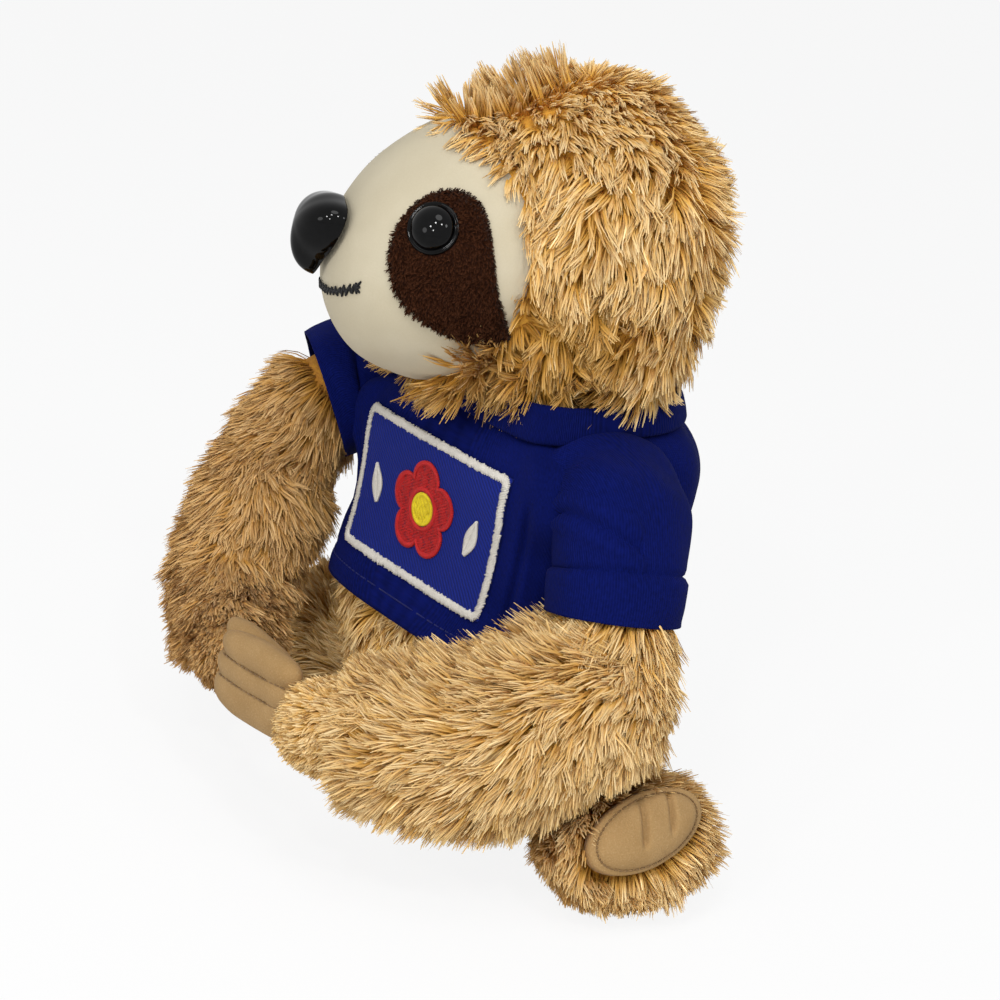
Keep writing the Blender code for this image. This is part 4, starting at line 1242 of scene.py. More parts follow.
@dataclass
class HeadShape:
    """The head: a face panel and a furry cover that meet at a seam."""

    seam: Triple = (-0.0068, -0.0037, 0.1385)
    seam_radius: float = 0.033
    radius: float = 0.0395
    rise: float = 0.0078
    turn_deg: float = -22.0
    tilt_deg: float = 9.0
    depth: float = 0.0379
    droop: float = 0.009
    squareness: float = 0.62
    depth_share: float = 0.835
    rise_end: float = 0.16
    top_share: float = 0.27
    chin_share: float = 0.17
    seam_bend: float = 2.4
    arc: float = 0.65

    @property
    def frame(self) -> Matrix:
        """The head's own frame: -Y is the way that the face looks.

        Returns:
            The frame.
        """
        return (
            Matrix.Translation(self.seam)
            @ Matrix.Rotation(math.radians(self.turn_deg), 4, "Z")
            @ Matrix.Rotation(-math.radians(self.tilt_deg), 4, "X")
        )

    def face(self, polar: float, turn: float) -> Vector:
        """Give the face panel's surface in the head's frame, from the muzzle's tip out.

        Args:
            polar: The angle from the muzzle's tip.
            turn: The angle round the form.

        Returns:
            The point.
        """
        forward = self.depth * max(math.cos(polar), 0) ** 0.92
        radius = self.seam_radius * math.sin(polar) ** 0.96
        droop = self.droop * (forward / self.depth) ** 1.3
        return Vector((radius * math.cos(turn), -forward, radius * math.sin(turn) - droop))

    def face_normal(self, polar: float, turn: float) -> Vector:
        """Give the outward direction of the face panel in the head's frame.

        Args:
            polar: The angle from the muzzle's tip.
            turn: The angle round the form.

        Returns:
            The direction.
        """
        middle = self.face(polar, turn)
        along = self.face(polar + 0.01, turn) - middle
        around = self.face(polar, turn + 0.01) - middle
        normal = around.cross(along).normalized()
        return normal if normal.dot(middle) > 0 else -normal

    def seam_reach(self, turn: float) -> float:
        """Give how far the fur comes over the face at an angle.

        Args:
            turn: The angle round the form.

        Returns:
            The angle in radians.
        """
        rise = math.sin(turn)
        most = self.top_share if rise > 0 else self.chin_share
        return most * abs(rise) ** self.seam_bend

    def cover(self, place: float, turn: float) -> Vector:
        """Give the furry cover in the head's frame, from the seam (0) to the back (1).

        Args:
            place: The share from seam to back.
            turn: The angle round the form.

        Returns:
            The point.
        """
        over = self.seam_reach(turn) * self.arc
        share = place * (1 + over) - over
        ease = smooth_step((share + over) / (self.rise_end + over / 4))
        if share < 0:
            return self.face(math.pi / 2 * (1 + share / self.arc), turn) + Vector((0, 0, self.rise * ease))
        seam_angle = math.asin(self.seam_radius / self.radius)
        polar = seam_angle + (math.pi - seam_angle) * share
        low = (1 - math.sin(turn)) / 2
        square = 1 - (1 - self.squareness) * min(share / self.rise_end, 1) * low
        back = self.radius * self.depth_share * (
            math.cos(seam_angle) - signed_power(math.cos(polar), square)
        )
        radius = self.radius * math.sin(polar) ** square
        side = radius * signed_power(math.cos(turn), square)
        return Vector((side, back, radius * signed_power(math.sin(turn), square) + self.rise * ease))


@dataclass
class LimbShape:
    """A stuffed tube with round ends along a smooth line."""

    points: Sequence[Vector]
    sizes: Rows
    up: Triple = (0, 0, 1)
    caps: float = 0.29

    @staticmethod
    def along(points: Sequence[Vector], share: float) -> Vector:
        """Give a place on a smooth line through some points, share 0 to 1.

        Args:
            points: The line's points.
            share: The share along the line, 0 to 1.

        Returns:
            The point.
        """
        spans = len(points) - 1
        scaled = min(max(share, 0), 1) * spans
        index = min(int(scaled), spans - 1)
        step = scaled - index
        here, there = Vector(points[index]), Vector(points[index + 1])
        before = Vector(points[index - 1]) if index > 0 else here * 2 - there
        after = Vector(points[index + 2]) if index + 2 <= spans else there * 2 - here
        return 0.5 * (
            here * 2 + (there - before) * step
            + (before * 2 - here * 5 + there * 4 - after) * step ** 2
            + (here * 3 - before - there * 3 + after) * step ** 3
        )

    def place(self, ring: float, turn: float, clearance: float) -> Vector:
        """Give the surface at a share of the whole form and an angle round it.

        Args:
            ring: The share from the first round end to the last.
            turn: The angle round the line.
            clearance: How far outside the surface the place lies.

        Returns:
            The point.
        """
        if ring < self.caps:
            share, angle = 0.0, math.pi / 2 * ring / self.caps
            ahead = -math.cos(angle)
        elif ring > 1 - self.caps:
            share, angle = 1.0, math.pi / 2 * (1 - ring) / self.caps
            ahead = math.cos(angle)
        else:
            share, angle, ahead = (ring - self.caps) / (1 - 2 * self.caps), math.pi / 2, 0.0
        spot = self.along(self.points, share)
        tangent = self.tangent(share)
        side = tangent.cross(Vector(self.up)).normalized()
        upward = side.cross(tangent)
        size = self.along([Vector((a, b, 0)) for a, b in self.sizes], share)
        radius, flat = size.x + clearance, size.y + clearance
        spread = math.sin(angle)
        return (
            spot + tangent * ahead * min(radius, flat)
            + side * math.cos(turn) * spread * flat
            + upward * math.sin(turn) * spread * radius
        )

    def tangent(self, share: float) -> Vector:
        """Give the line's direction."""
        ahead = self.along(self.points, min(share + 0.02, 1)) - self.along(
            self.points, max(share - 0.02, 0)
        )
        return ahead.normalized()

    def form(self, clearance: float = 0.0, segments: int = 32, rings: int = 28) -> Form:
        """Make the whole closed form.

        Args:
            clearance: How far outside the surface it lies.
            segments: Faces round it.
            rings: Faces along it.

        Returns:
            The bmesh.
        """
        ball = unit_ball(segments, rings)
        for vertex in ball.verts:
            ring = 1 - math.acos(min(max(vertex.co.z, -1), 1)) / math.pi
            vertex.co = self.place(ring, math.atan2(vertex.co.y, vertex.co.x), clearance)
        return ball


def padded_form(name: str, form: Form, material: Material) -> Piece:
    """Make a stuffed piece: a closed form that is a little uneven, as fibre leaves it.

    Args:
        name: The piece's name.
        form: The closed form.
        material: The finish.

    Returns:
        The piece.
    """
    mesh = mesh_of(form)
    for vertex in mesh.vertices:
        lump = noise.noise(vertex.co * 70) * 0.0005
        vertex.co += vertex.normal * lump
        vertex.co.z = max(vertex.co.z, FLOOR_CLEAR)
    piece = shown(name, mesh, material)
    return piece


# Head
@dataclass
class Head:
    """The head: furry cover, velvet face, eye patches, eyes, nose and mouth."""

    shape: HeadShape
    pile_depth: float = 0.0036
    crest_rise: float = 0.0245
    crest_width: float = 0.0100
    ridge_rise: tuple[float, ...] = (-0.0130, -0.0035, 0.0140, 0.0370)
    ridge_back: tuple[float, ...] = (0.0370, 0.0390, 0.0400, 0.0270)
    cover_cloth: float = 0.0012
    face_cloth: float = 0.0012
    felt: float = 0.0009
    eye_radius: float = 0.0060
    eye_height: float = 0.0043
    eye_places: tuple[Pair, Pair] = ((0.62, 0.130), (0.665, 0.118))
    nose_size: Triple = (0.0088, 0.0094, 0.0086)
    nose_place: float = 0.08
    patch_centre: Pair = (0.695, 0.004)
    patch_size: Pair = (0.465, 0.186)
    patch_slant: float = 0.366
    patch_taper: float = 0.30
    teeth: int = 52
    tooth_reach: float = 0.0023
    patch_radii: Pair = (0.0105, 0.0240)
    mouth: Triple = (0.0155, 0.245, 0.42)
    mouth_ends: Pair = (-0.10, 1.04)
    neck_bottom: float = 0.109

    def build(self) -> None:
        """Build every piece of the head."""
        self.build_cover()
        self.build_face()
        for side in Side:
            self.build_eye(side)
            self.build_eye_patch(side)
        self.build_nose()
        self.build_mouth()

    def head_form(self, inset: float, segments: int = 64, rings: int = 48) -> Form:
        """Make the whole head as one closed form, a little inside its covers.

        Args:
            inset: How far inside it lies.
            segments: Faces round it.
            rings: Faces from front to back.

        Returns:
            The bmesh in the world.
        """
        ball = unit_ball(segments, rings)
        for vertex in ball.verts:
            polar = math.acos(min(max(vertex.co.z, -1), 1))
            turn = math.atan2(vertex.co.y, vertex.co.x)
            if polar > math.pi / 2:
                vertex.co = self.shape.cover(polar / (math.pi / 2) - 1, turn)
            else:
                vertex.co = self.shape.face(polar * (1 - self.shape.seam_reach(turn)), turn)
        ball.normal_update()
        bmesh.ops.recalc_face_normals(ball, faces=ball.faces)
        ball.normal_update()
        for vertex, move in [(v, v.normal * inset) for v in ball.verts]:
            vertex.co -= move
        ball.transform(self.shape.frame)
        for vertex in ball.verts:
            vertex.co.z = max(vertex.co.z, self.neck_bottom + inset)
        return ball

    def build_cover(self) -> None:
        """Build the stuffing, the backing cloth of the cover and its pile."""
        filling = padded_form("head_filling", self.head_form(0.0052, 40, 30), FIBRE.build())
        declare(filling, Body.HEAD, "stuffing", "head_stuffing")

        def place(turn_share: float, place_share: float) -> Vector:
            """Give a place on the backing cloth.

            Args:
                turn_share: The share of a whole turn.
                place_share: The share from seam to back.

            Returns:
                The point.
            """
            turn = turn_share * 2 * math.pi
            step = 0.01
            spot = self.shape.cover(place_share, turn)
            near = self.shape.cover(min(place_share, 1 - step) + step, turn) - self.shape.cover(
                min(place_share, 1 - step), turn
            )
            around = self.shape.cover(min(place_share, 0.98), turn + step) - self.shape.cover(
                min(place_share, 0.98), turn - step
            )
            normal = around.cross(near).normalized()
            if normal.dot(spot - Vector((0, 0.012, self.shape.rise))) < 0:
                normal = -normal
            depth = self.pile_depth * smooth_step(place_share / 0.06 + 0.15)
            spot = self.shape.frame @ (spot - normal * depth)
            spot.z = max(spot.z, self.neck_bottom)
            return spot

        cloth = shown("head_cover_cloth", woven(72, 34, place, merge=1e-5), FUR.backing())
        thicken(cloth, self.shape.frame @ Vector((0, 0.012, 0)), self.cover_cloth)
        declare(cloth, Body.HEAD, "fur", "head_cover")

        pile = FUR.strands()
        for number, (name, keep) in enumerate(self.panels().items()):
            coat = FurCoat(
                "head_fur_" + name, 11 + number, 3500, self.comb, strands=7, length=0.0096, keep=keep,
                length_rule=self.strand_length, tone_rule=self.cheek_tone, root_lift_deg=50, tip_lift_deg=4,
            )
            declare(coat.grow(cloth, pile), Body.HEAD, "fur")
        tuft = FurCoat(
            "head_fur_tuft", 19, 240, self.comb_tuft, strands=9, length=0.0090, keep=self.on_tuft,
            root_lift_deg=70, tip_lift_deg=48, lock_deg=6, curl_deg=16,
        )
        declare(tuft.grow(cloth, pile), Body.HEAD, "fur")

    def panels(self) -> dict[str, SpotRule]:
        """Give the cover's sewn panels by name, each as the rule that says what lies in it.

        Returns:
            The rule for each panel.
        """
        return {
            "left": lambda p: self.off_neck(p) * (self.local(p)[:, 0] >= 0) * (self.local(p)[:, 1] < 0.026),
            "right": lambda p: self.off_neck(p) * (self.local(p)[:, 0] < 0) * (self.local(p)[:, 1] < 0.026),
            "back": lambda p: self.off_neck(p) * (self.local(p)[:, 1] >= 0.026),
        }

    def on_tuft(self, spots: Array) -> Array:
        """Say what lies in the tuft over the forehead."""
        spot = self.local(spots)
        return (
            (np.abs(spot[:, 0] + 0.002) < 0.008) & (spot[:, 1] < 0.007) & (spot[:, 2] > 0.024)
        ).astype(float)

    def comb_tuft(self, spots: Array, normals: Array) -> Array:
        """Comb the tuft forward and up."""
        turn = np.array(self.shape.frame.to_3x3())
        return np.tile(turn @ np.array([0.1, -0.70, 1.4]), (len(spots), 1))

    def off_neck(self, spots: Array) -> Array:
        """Keep pile off the flat underside that sits on the neck."""
        return (spots[:, 2] > self.neck_bottom + 0.0012).astype(float)

    def local(self, spots: Array) -> Array:
        """Give places in the head's own frame."""
        back = np.array(self.shape.frame.inverted())
        return spots @ back[:3, :3].T + back[:3, 3]

    def strand_length(self, spots: Array) -> Array:
        """Give the strand length share: long chin, shorter curly cheek and crown.

        Args:
            spots: Places on the cloth.

        Returns:
            The shares of the full length.
        """
        spot = self.local(spots)
        chin = ease_in((-spot[:, 2] - 0.012) / 0.010) * ease_in((0.014 - spot[:, 1]) / 0.010)
        edge = ease_in(1 - spot[:, 1] / 0.005) * (1 - chin)
        far_edge = edge * ease_in(0.5 - spot[:, 0] / 0.01) * ease_in(spot[:, 2] / 0.01)
        crown = ease_in((spot[:, 2] - 0.028) / 0.010)
        front = crown * ease_in(1.4 - np.abs(spot[:, 0]) / 0.012) * ease_in((0.020 - spot[:, 1]) / 0.008)
        behind = ease_in((spot[:, 1] - 0.034) / 0.008)
        length = 1 + 0.14 * chin - 0.20 * edge - 0.30 * far_edge - 0.30 * self.curliness(spot) * (1 - chin)
        return length * (1 - 0.36 * crown) * (1 - 0.25 * front) * (1 - 0.20 * behind)

    def comb(self, spots: Array, normals: Array) -> Array:
        """Give the way that the pile lies: up beside the face, curly on the cheek, back behind a ridge.

        Args:
            spots: Places on the cloth.
            normals: The cloth's outward directions.

        Returns:
            The directions, not yet laid on the cloth.
        """
        spot = self.local(spots)
        x, y, z = (spot[:, index:index + 1] for index in range(3))
        side = np.where(x >= 0, 1.0, -1.0)
        past = y - np.interp(z, self.ridge_rise, self.ridge_back)
        behind = ease_in(past / 0.006 + 0.5)
        chin = ease_in((-z - 0.011) / 0.007) * ease_in((0.016 - y) / 0.010)
        curly = self.curliness(spot)[:, None]
        below = np.concatenate([side * 0.1, -0.14 - 0.25 * curly, -1.0 + 0 * z], axis=1)
        top = ease_in((z - self.crest_rise) / 0.010)
        crest = ease_in(1 - np.abs(x) / self.crest_width) * top
        away = np.concatenate([side * (1 - 0.9 * crest), 0.25 + 0.35 * crest, -0.45 * (1 - crest)], axis=1)
        flow = below * (1 - top) + away * top
        middle = top * ease_in(1 - np.abs(x) / 0.012) * ease_in((0.016 - y) / 0.008)
        flow = flow * (1 - middle) + middle * np.array([[0, -0.35, 0.5]])
        nape = ease_in((y - 0.040) / 0.016)
        rearward = np.concatenate([side * 0.35 * (1 - nape), 1.0 - nape, z / 0.030 - 0.35], axis=1)
        flow = flow * (1 - behind) + rearward * behind
        flow = flow + nape * np.array([[0, 0, -1.4]])
        flow = flow * (1 - 0.85 * chin) + chin * np.concatenate(
            [side * 0.12, 0 * y - 1.0, 0 * z - 0.42], axis=1
        )
        swirl = np.stack([ripple(spot, 0.009, 40 + index) for index in range(3)], axis=1)
        flow = flow + swirl * (0.10 + 1.1 * curly)
        edge = ease_in(1 - y / 0.007) * (1 - chin)
        flow[:, 1:2] = flow[:, 1:2] * (1 - edge) + np.maximum(flow[:, 1:2], 0.1) * edge
        turn = np.array(self.shape.frame.to_3x3())
        flow = flow @ turn.T
        out = np.sum(flow * normals, axis=1, keepdims=True)
        flow = flow - normals * np.maximum(out, 0) * behind * 0.8
        return flow + normals * (0.15 * middle + 0.10 * top + 0.9 * crest * (1 - middle) + 0.15 * edge)

    @staticmethod
    def curliness(spot: Array) -> Array:
        """Give how curly the pile is at places in the head's own frame: most on the cheek."""
        return ease_in((0.008 - spot[:, 2]) / 0.010) * ease_in((0.034 - spot[:, 1]) / 0.010)

    def cheek_tone(self, spots: Array) -> Array:
        """Darken the pile's tone a little on the curly cheek."""
        return 1 - 0.66 * self.curliness(self.local(spots))

    def build_face(self) -> None:
        """Build the velvet face panel."""
        def place(turn_share: float, polar_share: float) -> Vector:
            """Give a place on the face panel.

            Args:
                turn_share: The share of a whole turn.
                polar_share: The share from middle to rim.

            Returns:
                The point.
            """
            turn = turn_share * 2 * math.pi
            polar = max(polar_share, 1e-4) * math.pi / 2 * (1 - self.shape.seam_reach(turn))
            spot = self.shape.face(polar, turn)
            normal = self.shape.face_normal(max(polar, 0.02), turn)
            puff = 0.00035 * noise.noise(spot * 75) - 0.0004 * smooth_step((polar_share - 0.94) / 0.06)
            return self.shape.frame @ (spot + normal * puff)

        panel = shown("face_velvet", woven(96, 56, place, merge=2e-5), FACE.build())
        thicken(panel, self.shape.frame @ Vector((0, 0.004, 0)), self.face_cloth)
        declare(panel, Body.HEAD, "face_plush", "face_panel")

    def on_face(self, polar: float, turn: float, lift: float) -> tuple[Vector, Vector]:
        """Give a place on the face in the world, lifted off, and the outward direction.

        Args:
            polar: The angle from the muzzle's tip.
            turn: The angle round it.
            lift: How far it is lifted.

        Returns:
            The place and the direction.
        """
        normal = self.shape.frame.to_3x3() @ self.shape.face_normal(polar, turn)
        return self.shape.frame @ self.shape.face(polar, turn) + normal * lift, normal

    def eye_angles(self, side: Side) -> Pair:
        """Give an eye's polar and turn angles on the face.

        Args:
            side: Which side.

        Returns:
            The polar and turn angles.
        """
        polar_share, turn_share = self.eye_places[side is Side.RIGHT]
        turn = math.pi * turn_share
        return math.pi / 2 * polar_share, turn if side is Side.LEFT else math.pi - turn

    def build_eye(self, side: Side) -> None:
        """Build one glossy eye: a dome in a thin rim, on its shank.

        Args:
            side: Which eye.
        """
        polar, turn = self.eye_angles(side)
        spot, normal = self.on_face(polar, turn, 0.0003)
        radius, height = self.eye_radius, self.eye_height
        rim, shank = 0.00075, 0.0016
        profile = [(0.0, -0.0085), (shank, -0.0085), (shank, 0.0), (radius - 0.0003, 0.0)]
        profile += [
            (radius, 0.0003), (radius, 0.0008), (radius - 0.0002, 0.00115), (radius - rim * 0.6, 0.0012),
            (radius - rim, 0.00095),
        ]
        for index in range(1, 15):
            angle = math.pi / 2 * (1 - index / 14)
            profile.append(
                ((radius - rim - 0.00015) * math.sin(angle), 0.0009 + (height - 0.0009) * math.cos(angle))
            )
        eye = self.lathe(side.label + "_eye_dome", profile, look_along(spot, normal), GLOSS.build())
        declare(eye, Body.HEAD, "eye_gloss", side.label + "_eye")

    @staticmethod
    def lathe(name: str, profile: Sequence[Pair], matrix: Matrix, material: Material) -> Piece:
        """Turn a profile round Z.

        Args:
            name: The piece's name.
            profile: Radius and height pairs from the bottom up.
            matrix: Where it is put.
            material: The finish.

        Returns:
            The piece.
        """
        def place(turn_share: float, row_share: float) -> Vector:
            """Give a place on the turned surface.

            Args:
                turn_share: The share of a whole turn.
                row_share: The share along the profile.

            Returns:
                The point.
            """
            radius, height = profile[round(row_share * (len(profile) - 1))]
            angle = turn_share * 2 * math.pi
            return Vector((radius * math.cos(angle), radius * math.sin(angle), height))

        return shown(name, woven(72, len(profile) - 1, place, merge=1e-6, matrix=matrix), material)

    def patch_chart(self, side: Side, across: float, along: float) -> Pair:
        """Turn a place on the eye patch's oval into angles on the face.

        Args:
            side: Which eye patch.
            across: From -1 to 1 across it.
            along: From -1 to 1 along it, 1 at the low end.

        Returns:
            The polar and turn angles.
        """
        slant = -math.pi * self.patch_slant
        narrow = 1 - self.patch_taper * along
        flat_side = self.patch_size[1] * narrow * across
        flat_along = self.patch_size[0] * along
        out = self.patch_centre[0] * math.cos(math.pi * self.patch_centre[1])
        rise = self.patch_centre[0] * math.sin(math.pi * self.patch_centre[1])
        out += flat_along * math.cos(slant) - flat_side * math.sin(slant)
        rise += flat_along * math.sin(slant) + flat_side * math.cos(slant)
        turn = math.atan2(rise, out)
        return math.hypot(out, rise) * math.pi / 2, turn if side is Side.LEFT else math.pi - turn

    def tooth(self, angle: float) -> float:
        """Give how far the patch's edge stands out at an angle: teeth on its nose side.

        Args:
            angle: The angle round the patch.

        Returns:
            The share by which the edge stands out.
        """
        wide, long = self.patch_radii
        turns = np.linspace(0, 2 * math.pi, 241)
        arcs = np.concatenate(
            [[0], np.cumsum(np.hypot(wide * np.sin(turns[:-1]), long * np.cos(turns[:-1])))]
        )
        share = float(np.interp(angle % (2 * math.pi), turns, arcs / arcs[-1]))
        phase = (share * self.teeth) % 1
        peak = (1 - abs(phase * 2 - 1)) ** 1.3
        reach = self.tooth_reach * smooth_step((share - 0.25) / 0.06) * (
            1 - 0.75 * smooth_step((share - 0.42) / 0.22)
        )
        uneven = 0.7 + 0.6 * abs(math.sin(math.floor(share * self.teeth) * 2.7))
        radius = math.hypot(wide * math.cos(angle), long * math.sin(angle))
        return reach * uneven * smooth_step((0.78 - share) / 0.06) * (peak - 0.35) / radius

    def build_eye_patch(self, side: Side) -> None:
        """Build one brown eye patch, its short pile and the zigzag stitches at its edge.

        Args:
            side: Which eye patch.
        """
        def place(turn_share: float, reach: float) -> Vector:
            """Give a place on the patch's top.

            Args:
                turn_share: The share of a whole turn.
                reach: The share from middle to rim.

            Returns:
                The point.
            """
            angle = turn_share * 2 * math.pi
            reach_out = reach * (1 + self.tooth(angle) * smooth_step((reach - 0.8) / 0.2))
            across, along = reach_out * math.cos(angle), reach_out * math.sin(angle)
            polar, turn = self.patch_chart(side, across, along)
            edge = max((reach - 0.93) / 0.07, 0)
            lift = 0.0002 + self.felt * (1 - edge ** 2) + 0.00012 * noise.noise(
                Vector((across, along, 3)) * 9
            )
            return self.on_face(polar, turn, lift)[0]

        felt = woven(360, 28, lambda share, reach: place(share, max(reach, 0.002)), merge=2e-5)
        patch = shown(side.label + "_eye_patch_felt", felt, FELT.build())
        thicken(patch, self.shape.frame @ Vector((0, 0.004, 0)), 0.0006)
        declare(patch, Body.HEAD, "eye_patch_plush", side.label + "_eye_patch")

        fuzz = FurCoat(
            side.label + "_eye_patch_pile", 31 + side.value, 6500,
            lambda spots, normals: np.tile([0.2, -0.3, -1.0], (len(spots), 1)),
            keep=lambda spots: self.off_eye(spots, side), strands=3, length=0.0011, clump_radius=0.0003,
            width=0.00016, stray_deg=30, lock_deg=30, curl_deg=20, lock_length=0.004, root_lift_deg=50,
            tip_lift_deg=15, segments=2, sink=0.0, glitter_share=0.0,
        )
        declare(fuzz.grow(patch, PATCH_PILE.strands()), Body.HEAD, "eye_patch_plush")

        needle = Needle()
        for index in range(self.teeth * 2):
            angle = math.pi * (index + 1) / self.teeth
            line, ups = [], []
            out = 0.03 + 0.75 * max(self.tooth(angle), 0)
            for share in (0.0, 0.33, 0.66, 1.0):
                reach = 0.90 + (0.10 + out) * share
                turn = angle + 0.035 * (-1) ** index * (share - 0.6)
                polar, around = self.patch_chart(side, reach * math.cos(turn), reach * math.sin(turn))
                spot, normal = self.on_face(polar, around, self.felt * (1 - 0.75 * share) + 0.0002)
                line.append(spot)
                ups.append(normal)
            needle.stitch(line, ups, 0.00036, 0.00025)
        stitches = needle.finish(side.label + "_eye_patch_stitches", BROWN_THREAD.build())
        declare(stitches, Body.HEAD, "eye_patch_plush")

    def off_eye(self, spots: Array, side: Side) -> Array:
        """Keep the short pile off the eye and the patch's underside.

        Args:
            spots: Places on the cloth.
            side: Which side.

        Returns:
            1 where the pile stays and 0 elsewhere.
        """
        polar, turn = self.eye_angles(side)
        eye, _ = self.on_face(polar, turn, 0.0)
        far = np.linalg.norm(spots - np.array(eye)[None, :], axis=1)
        return (far > self.eye_radius - 0.0002).astype(float)

    def build_nose(self) -> None:
        """Build the glossy nose: a domed triangle with its point down."""
        polar = math.pi / 2 * self.nose_place
        spot, normal = self.on_face(polar, math.pi / 2, 0.0009)
        half_width, half_height, depth = self.nose_size
        ball = unit_ball(64, 48)
        for vertex in ball.verts:
            x, y, z = vertex.co
            turn = math.atan2(y, x)
            corner = 1 + 0.13 * math.cos(3 * (turn + math.pi / 2)) + 0.035 * math.cos(
                6 * (turn + math.pi / 2)
            )
            dome = signed_power(z, 0.92) * (depth if z > 0 else 0.0009)
            pointed = 1 - 0.42 * max(-y, 0) ** 1.5
            vertex.co = Vector((x * corner * pointed * half_width, y * corner * half_height, dome))
        nose = shown("nose_dome", mesh_of(ball, look_along(spot, normal)), GLOSS.build())
        declare(nose, Body.HEAD, "eye_gloss", "nose")

    def build_mouth(self) -> None:
        """Build the mouth: black zigzag stitches in a shallow smile, forked at its ends."""
        half_width, drop, smile = self.mouth
        needle = Needle()

        def spot_at(share: float, shift: float) -> tuple[Vector, Vector]:
            """Give a place on the mouth's line, shifted up the face.

            Args:
                share: The share along the line, 0 to 1.
                shift: How far up the face it lies.

            Returns:
                The place and its outward direction.
            """
            side_share = share * half_width / self.shape.seam_radius
            drop_share = drop * (1 - smile * share * share) - shift / self.shape.seam_radius
            polar = math.asin(math.hypot(side_share, drop_share))
            return self.on_face(polar, math.atan2(-drop_share, side_share), 0.0002)

        rng = np.random.default_rng(41)
        first, last = self.mouth_ends
        count = 22
        for index in range(count):
            share = first + (last - first) * (index + 0.5) / count
            lean = 0.030 * (-1) ** index + 0.012 * rng.standard_normal()
            tall = 0.00055 + 0.00055 * rng.random() + 0.00045 * (index / count) ** 2
            line = [spot_at(share + lean * step, tall * step) for step in (-1, -0.4, 0.4, 1)]
            needle.stitch([p for p, _ in line], [n for _, n in line], 0.00072, 0.0005)
        for end, reach in ((first, -0.035), (last, 0.06)):
            for fork in (-1, 0, 1):
                line = [
                    spot_at(end + reach * (step - 0.5), fork * 0.0011 * step) for step in (0, 0.4, 0.8, 1.2)
                ]
                needle.stitch([p for p, _ in line], [n for _, n in line], 0.00062, 0.0005)
        declare(
            needle.finish("mouth_zigzag", BLACK_THREAD.build()), Body.HEAD, "mouth_thread", "mouth_stitch"
        )


# Torso, shirt and chest patch
@dataclass
class Torso:
    """The stuffed body under the shirt and its neck."""

    shape: TorsoShape
    pile_depth: float = 0.0022
    hem_up: float = 0.0535
    neck: Triple = (0.0, 0.0155, 0.106)
    neck_radius: float = 0.0172

    def body_form(self, swell: float, segments: int, rings: int) -> Form:
        """Make the closed body.

        Args:
            swell: How far outside the part's surface it lies.
            segments: Faces round it.
            rings: Faces up it.

        Returns:
            The bmesh.
        """
        ball = unit_ball(segments, rings)
        for vertex in ball.verts:
            polar = math.pi - math.acos(min(max(vertex.co.z, -1), 1))
            vertex.co = self.shape.point(polar, math.atan2(vertex.co.y, vertex.co.x), swell)
        return ball

    def build(self) -> None:
        """Build every piece of the torso."""
        filling = padded_form("body_filling", self.body_form(-0.0045, 40, 30), FIBRE.build())
        declare(filling, Body.TORSO, "stuffing", "body_stuffing")
        cloth = padded_form(
            "body_cover_cloth", self.body_form(-self.pile_depth, 64, 48), FUR.backing()
        )
        declare(cloth, Body.TORSO, "fur", "body_cover")
        coat = FurCoat(
            "body_fur", 21, 4200, self.comb, keep=lambda p: (p[:, 2] < self.hem_up).astype(float),
            strands=6, length=0.0072, root_lift_deg=52, tip_lift_deg=8,
        )
        declare(coat.grow(cloth, FUR.strands()), Body.TORSO, "fur")
        ball = unit_ball(40, 28)
        ball.transform(Matrix.Translation(self.neck) @ Matrix.Scale(self.neck_radius, 4))
        core = padded_form("neck_core", ball, FUR.backing())
        declare(core, Body.NECK, "fur", "neck")

    @staticmethod
    def comb(spots: Array, normals: Array) -> Array:
        """Comb the pile down and a little out from the middle."""
        return np.stack([spots[:, 0] * 9, spots[:, 1] * 4, -np.ones(len(spots))], axis=1)


SLEEVE_ROWS = {
    Side.LEFT: (
        (0.0280, 0.0046, 0.0870, 0.0150, 0.0172),
        (0.0395, 0.0040, 0.0895, 0.0145, 0.0162),
        (0.0472, 0.0010, 0.0790, 0.0136, 0.0146),
        (0.0500, -0.0012, 0.0675, 0.0142, 0.0148),
    ),
    Side.RIGHT: (
        (-0.0335, 0.0050, 0.0880, 0.0160, 0.0180),
        (-0.0440, 0.0010, 0.0925, 0.0140, 0.0150),
        (-0.0490, -0.0070, 0.0925, 0.0140, 0.0146),
        (-0.0515, -0.0150, 0.0885, 0.0146, 0.0150),
    ),
}


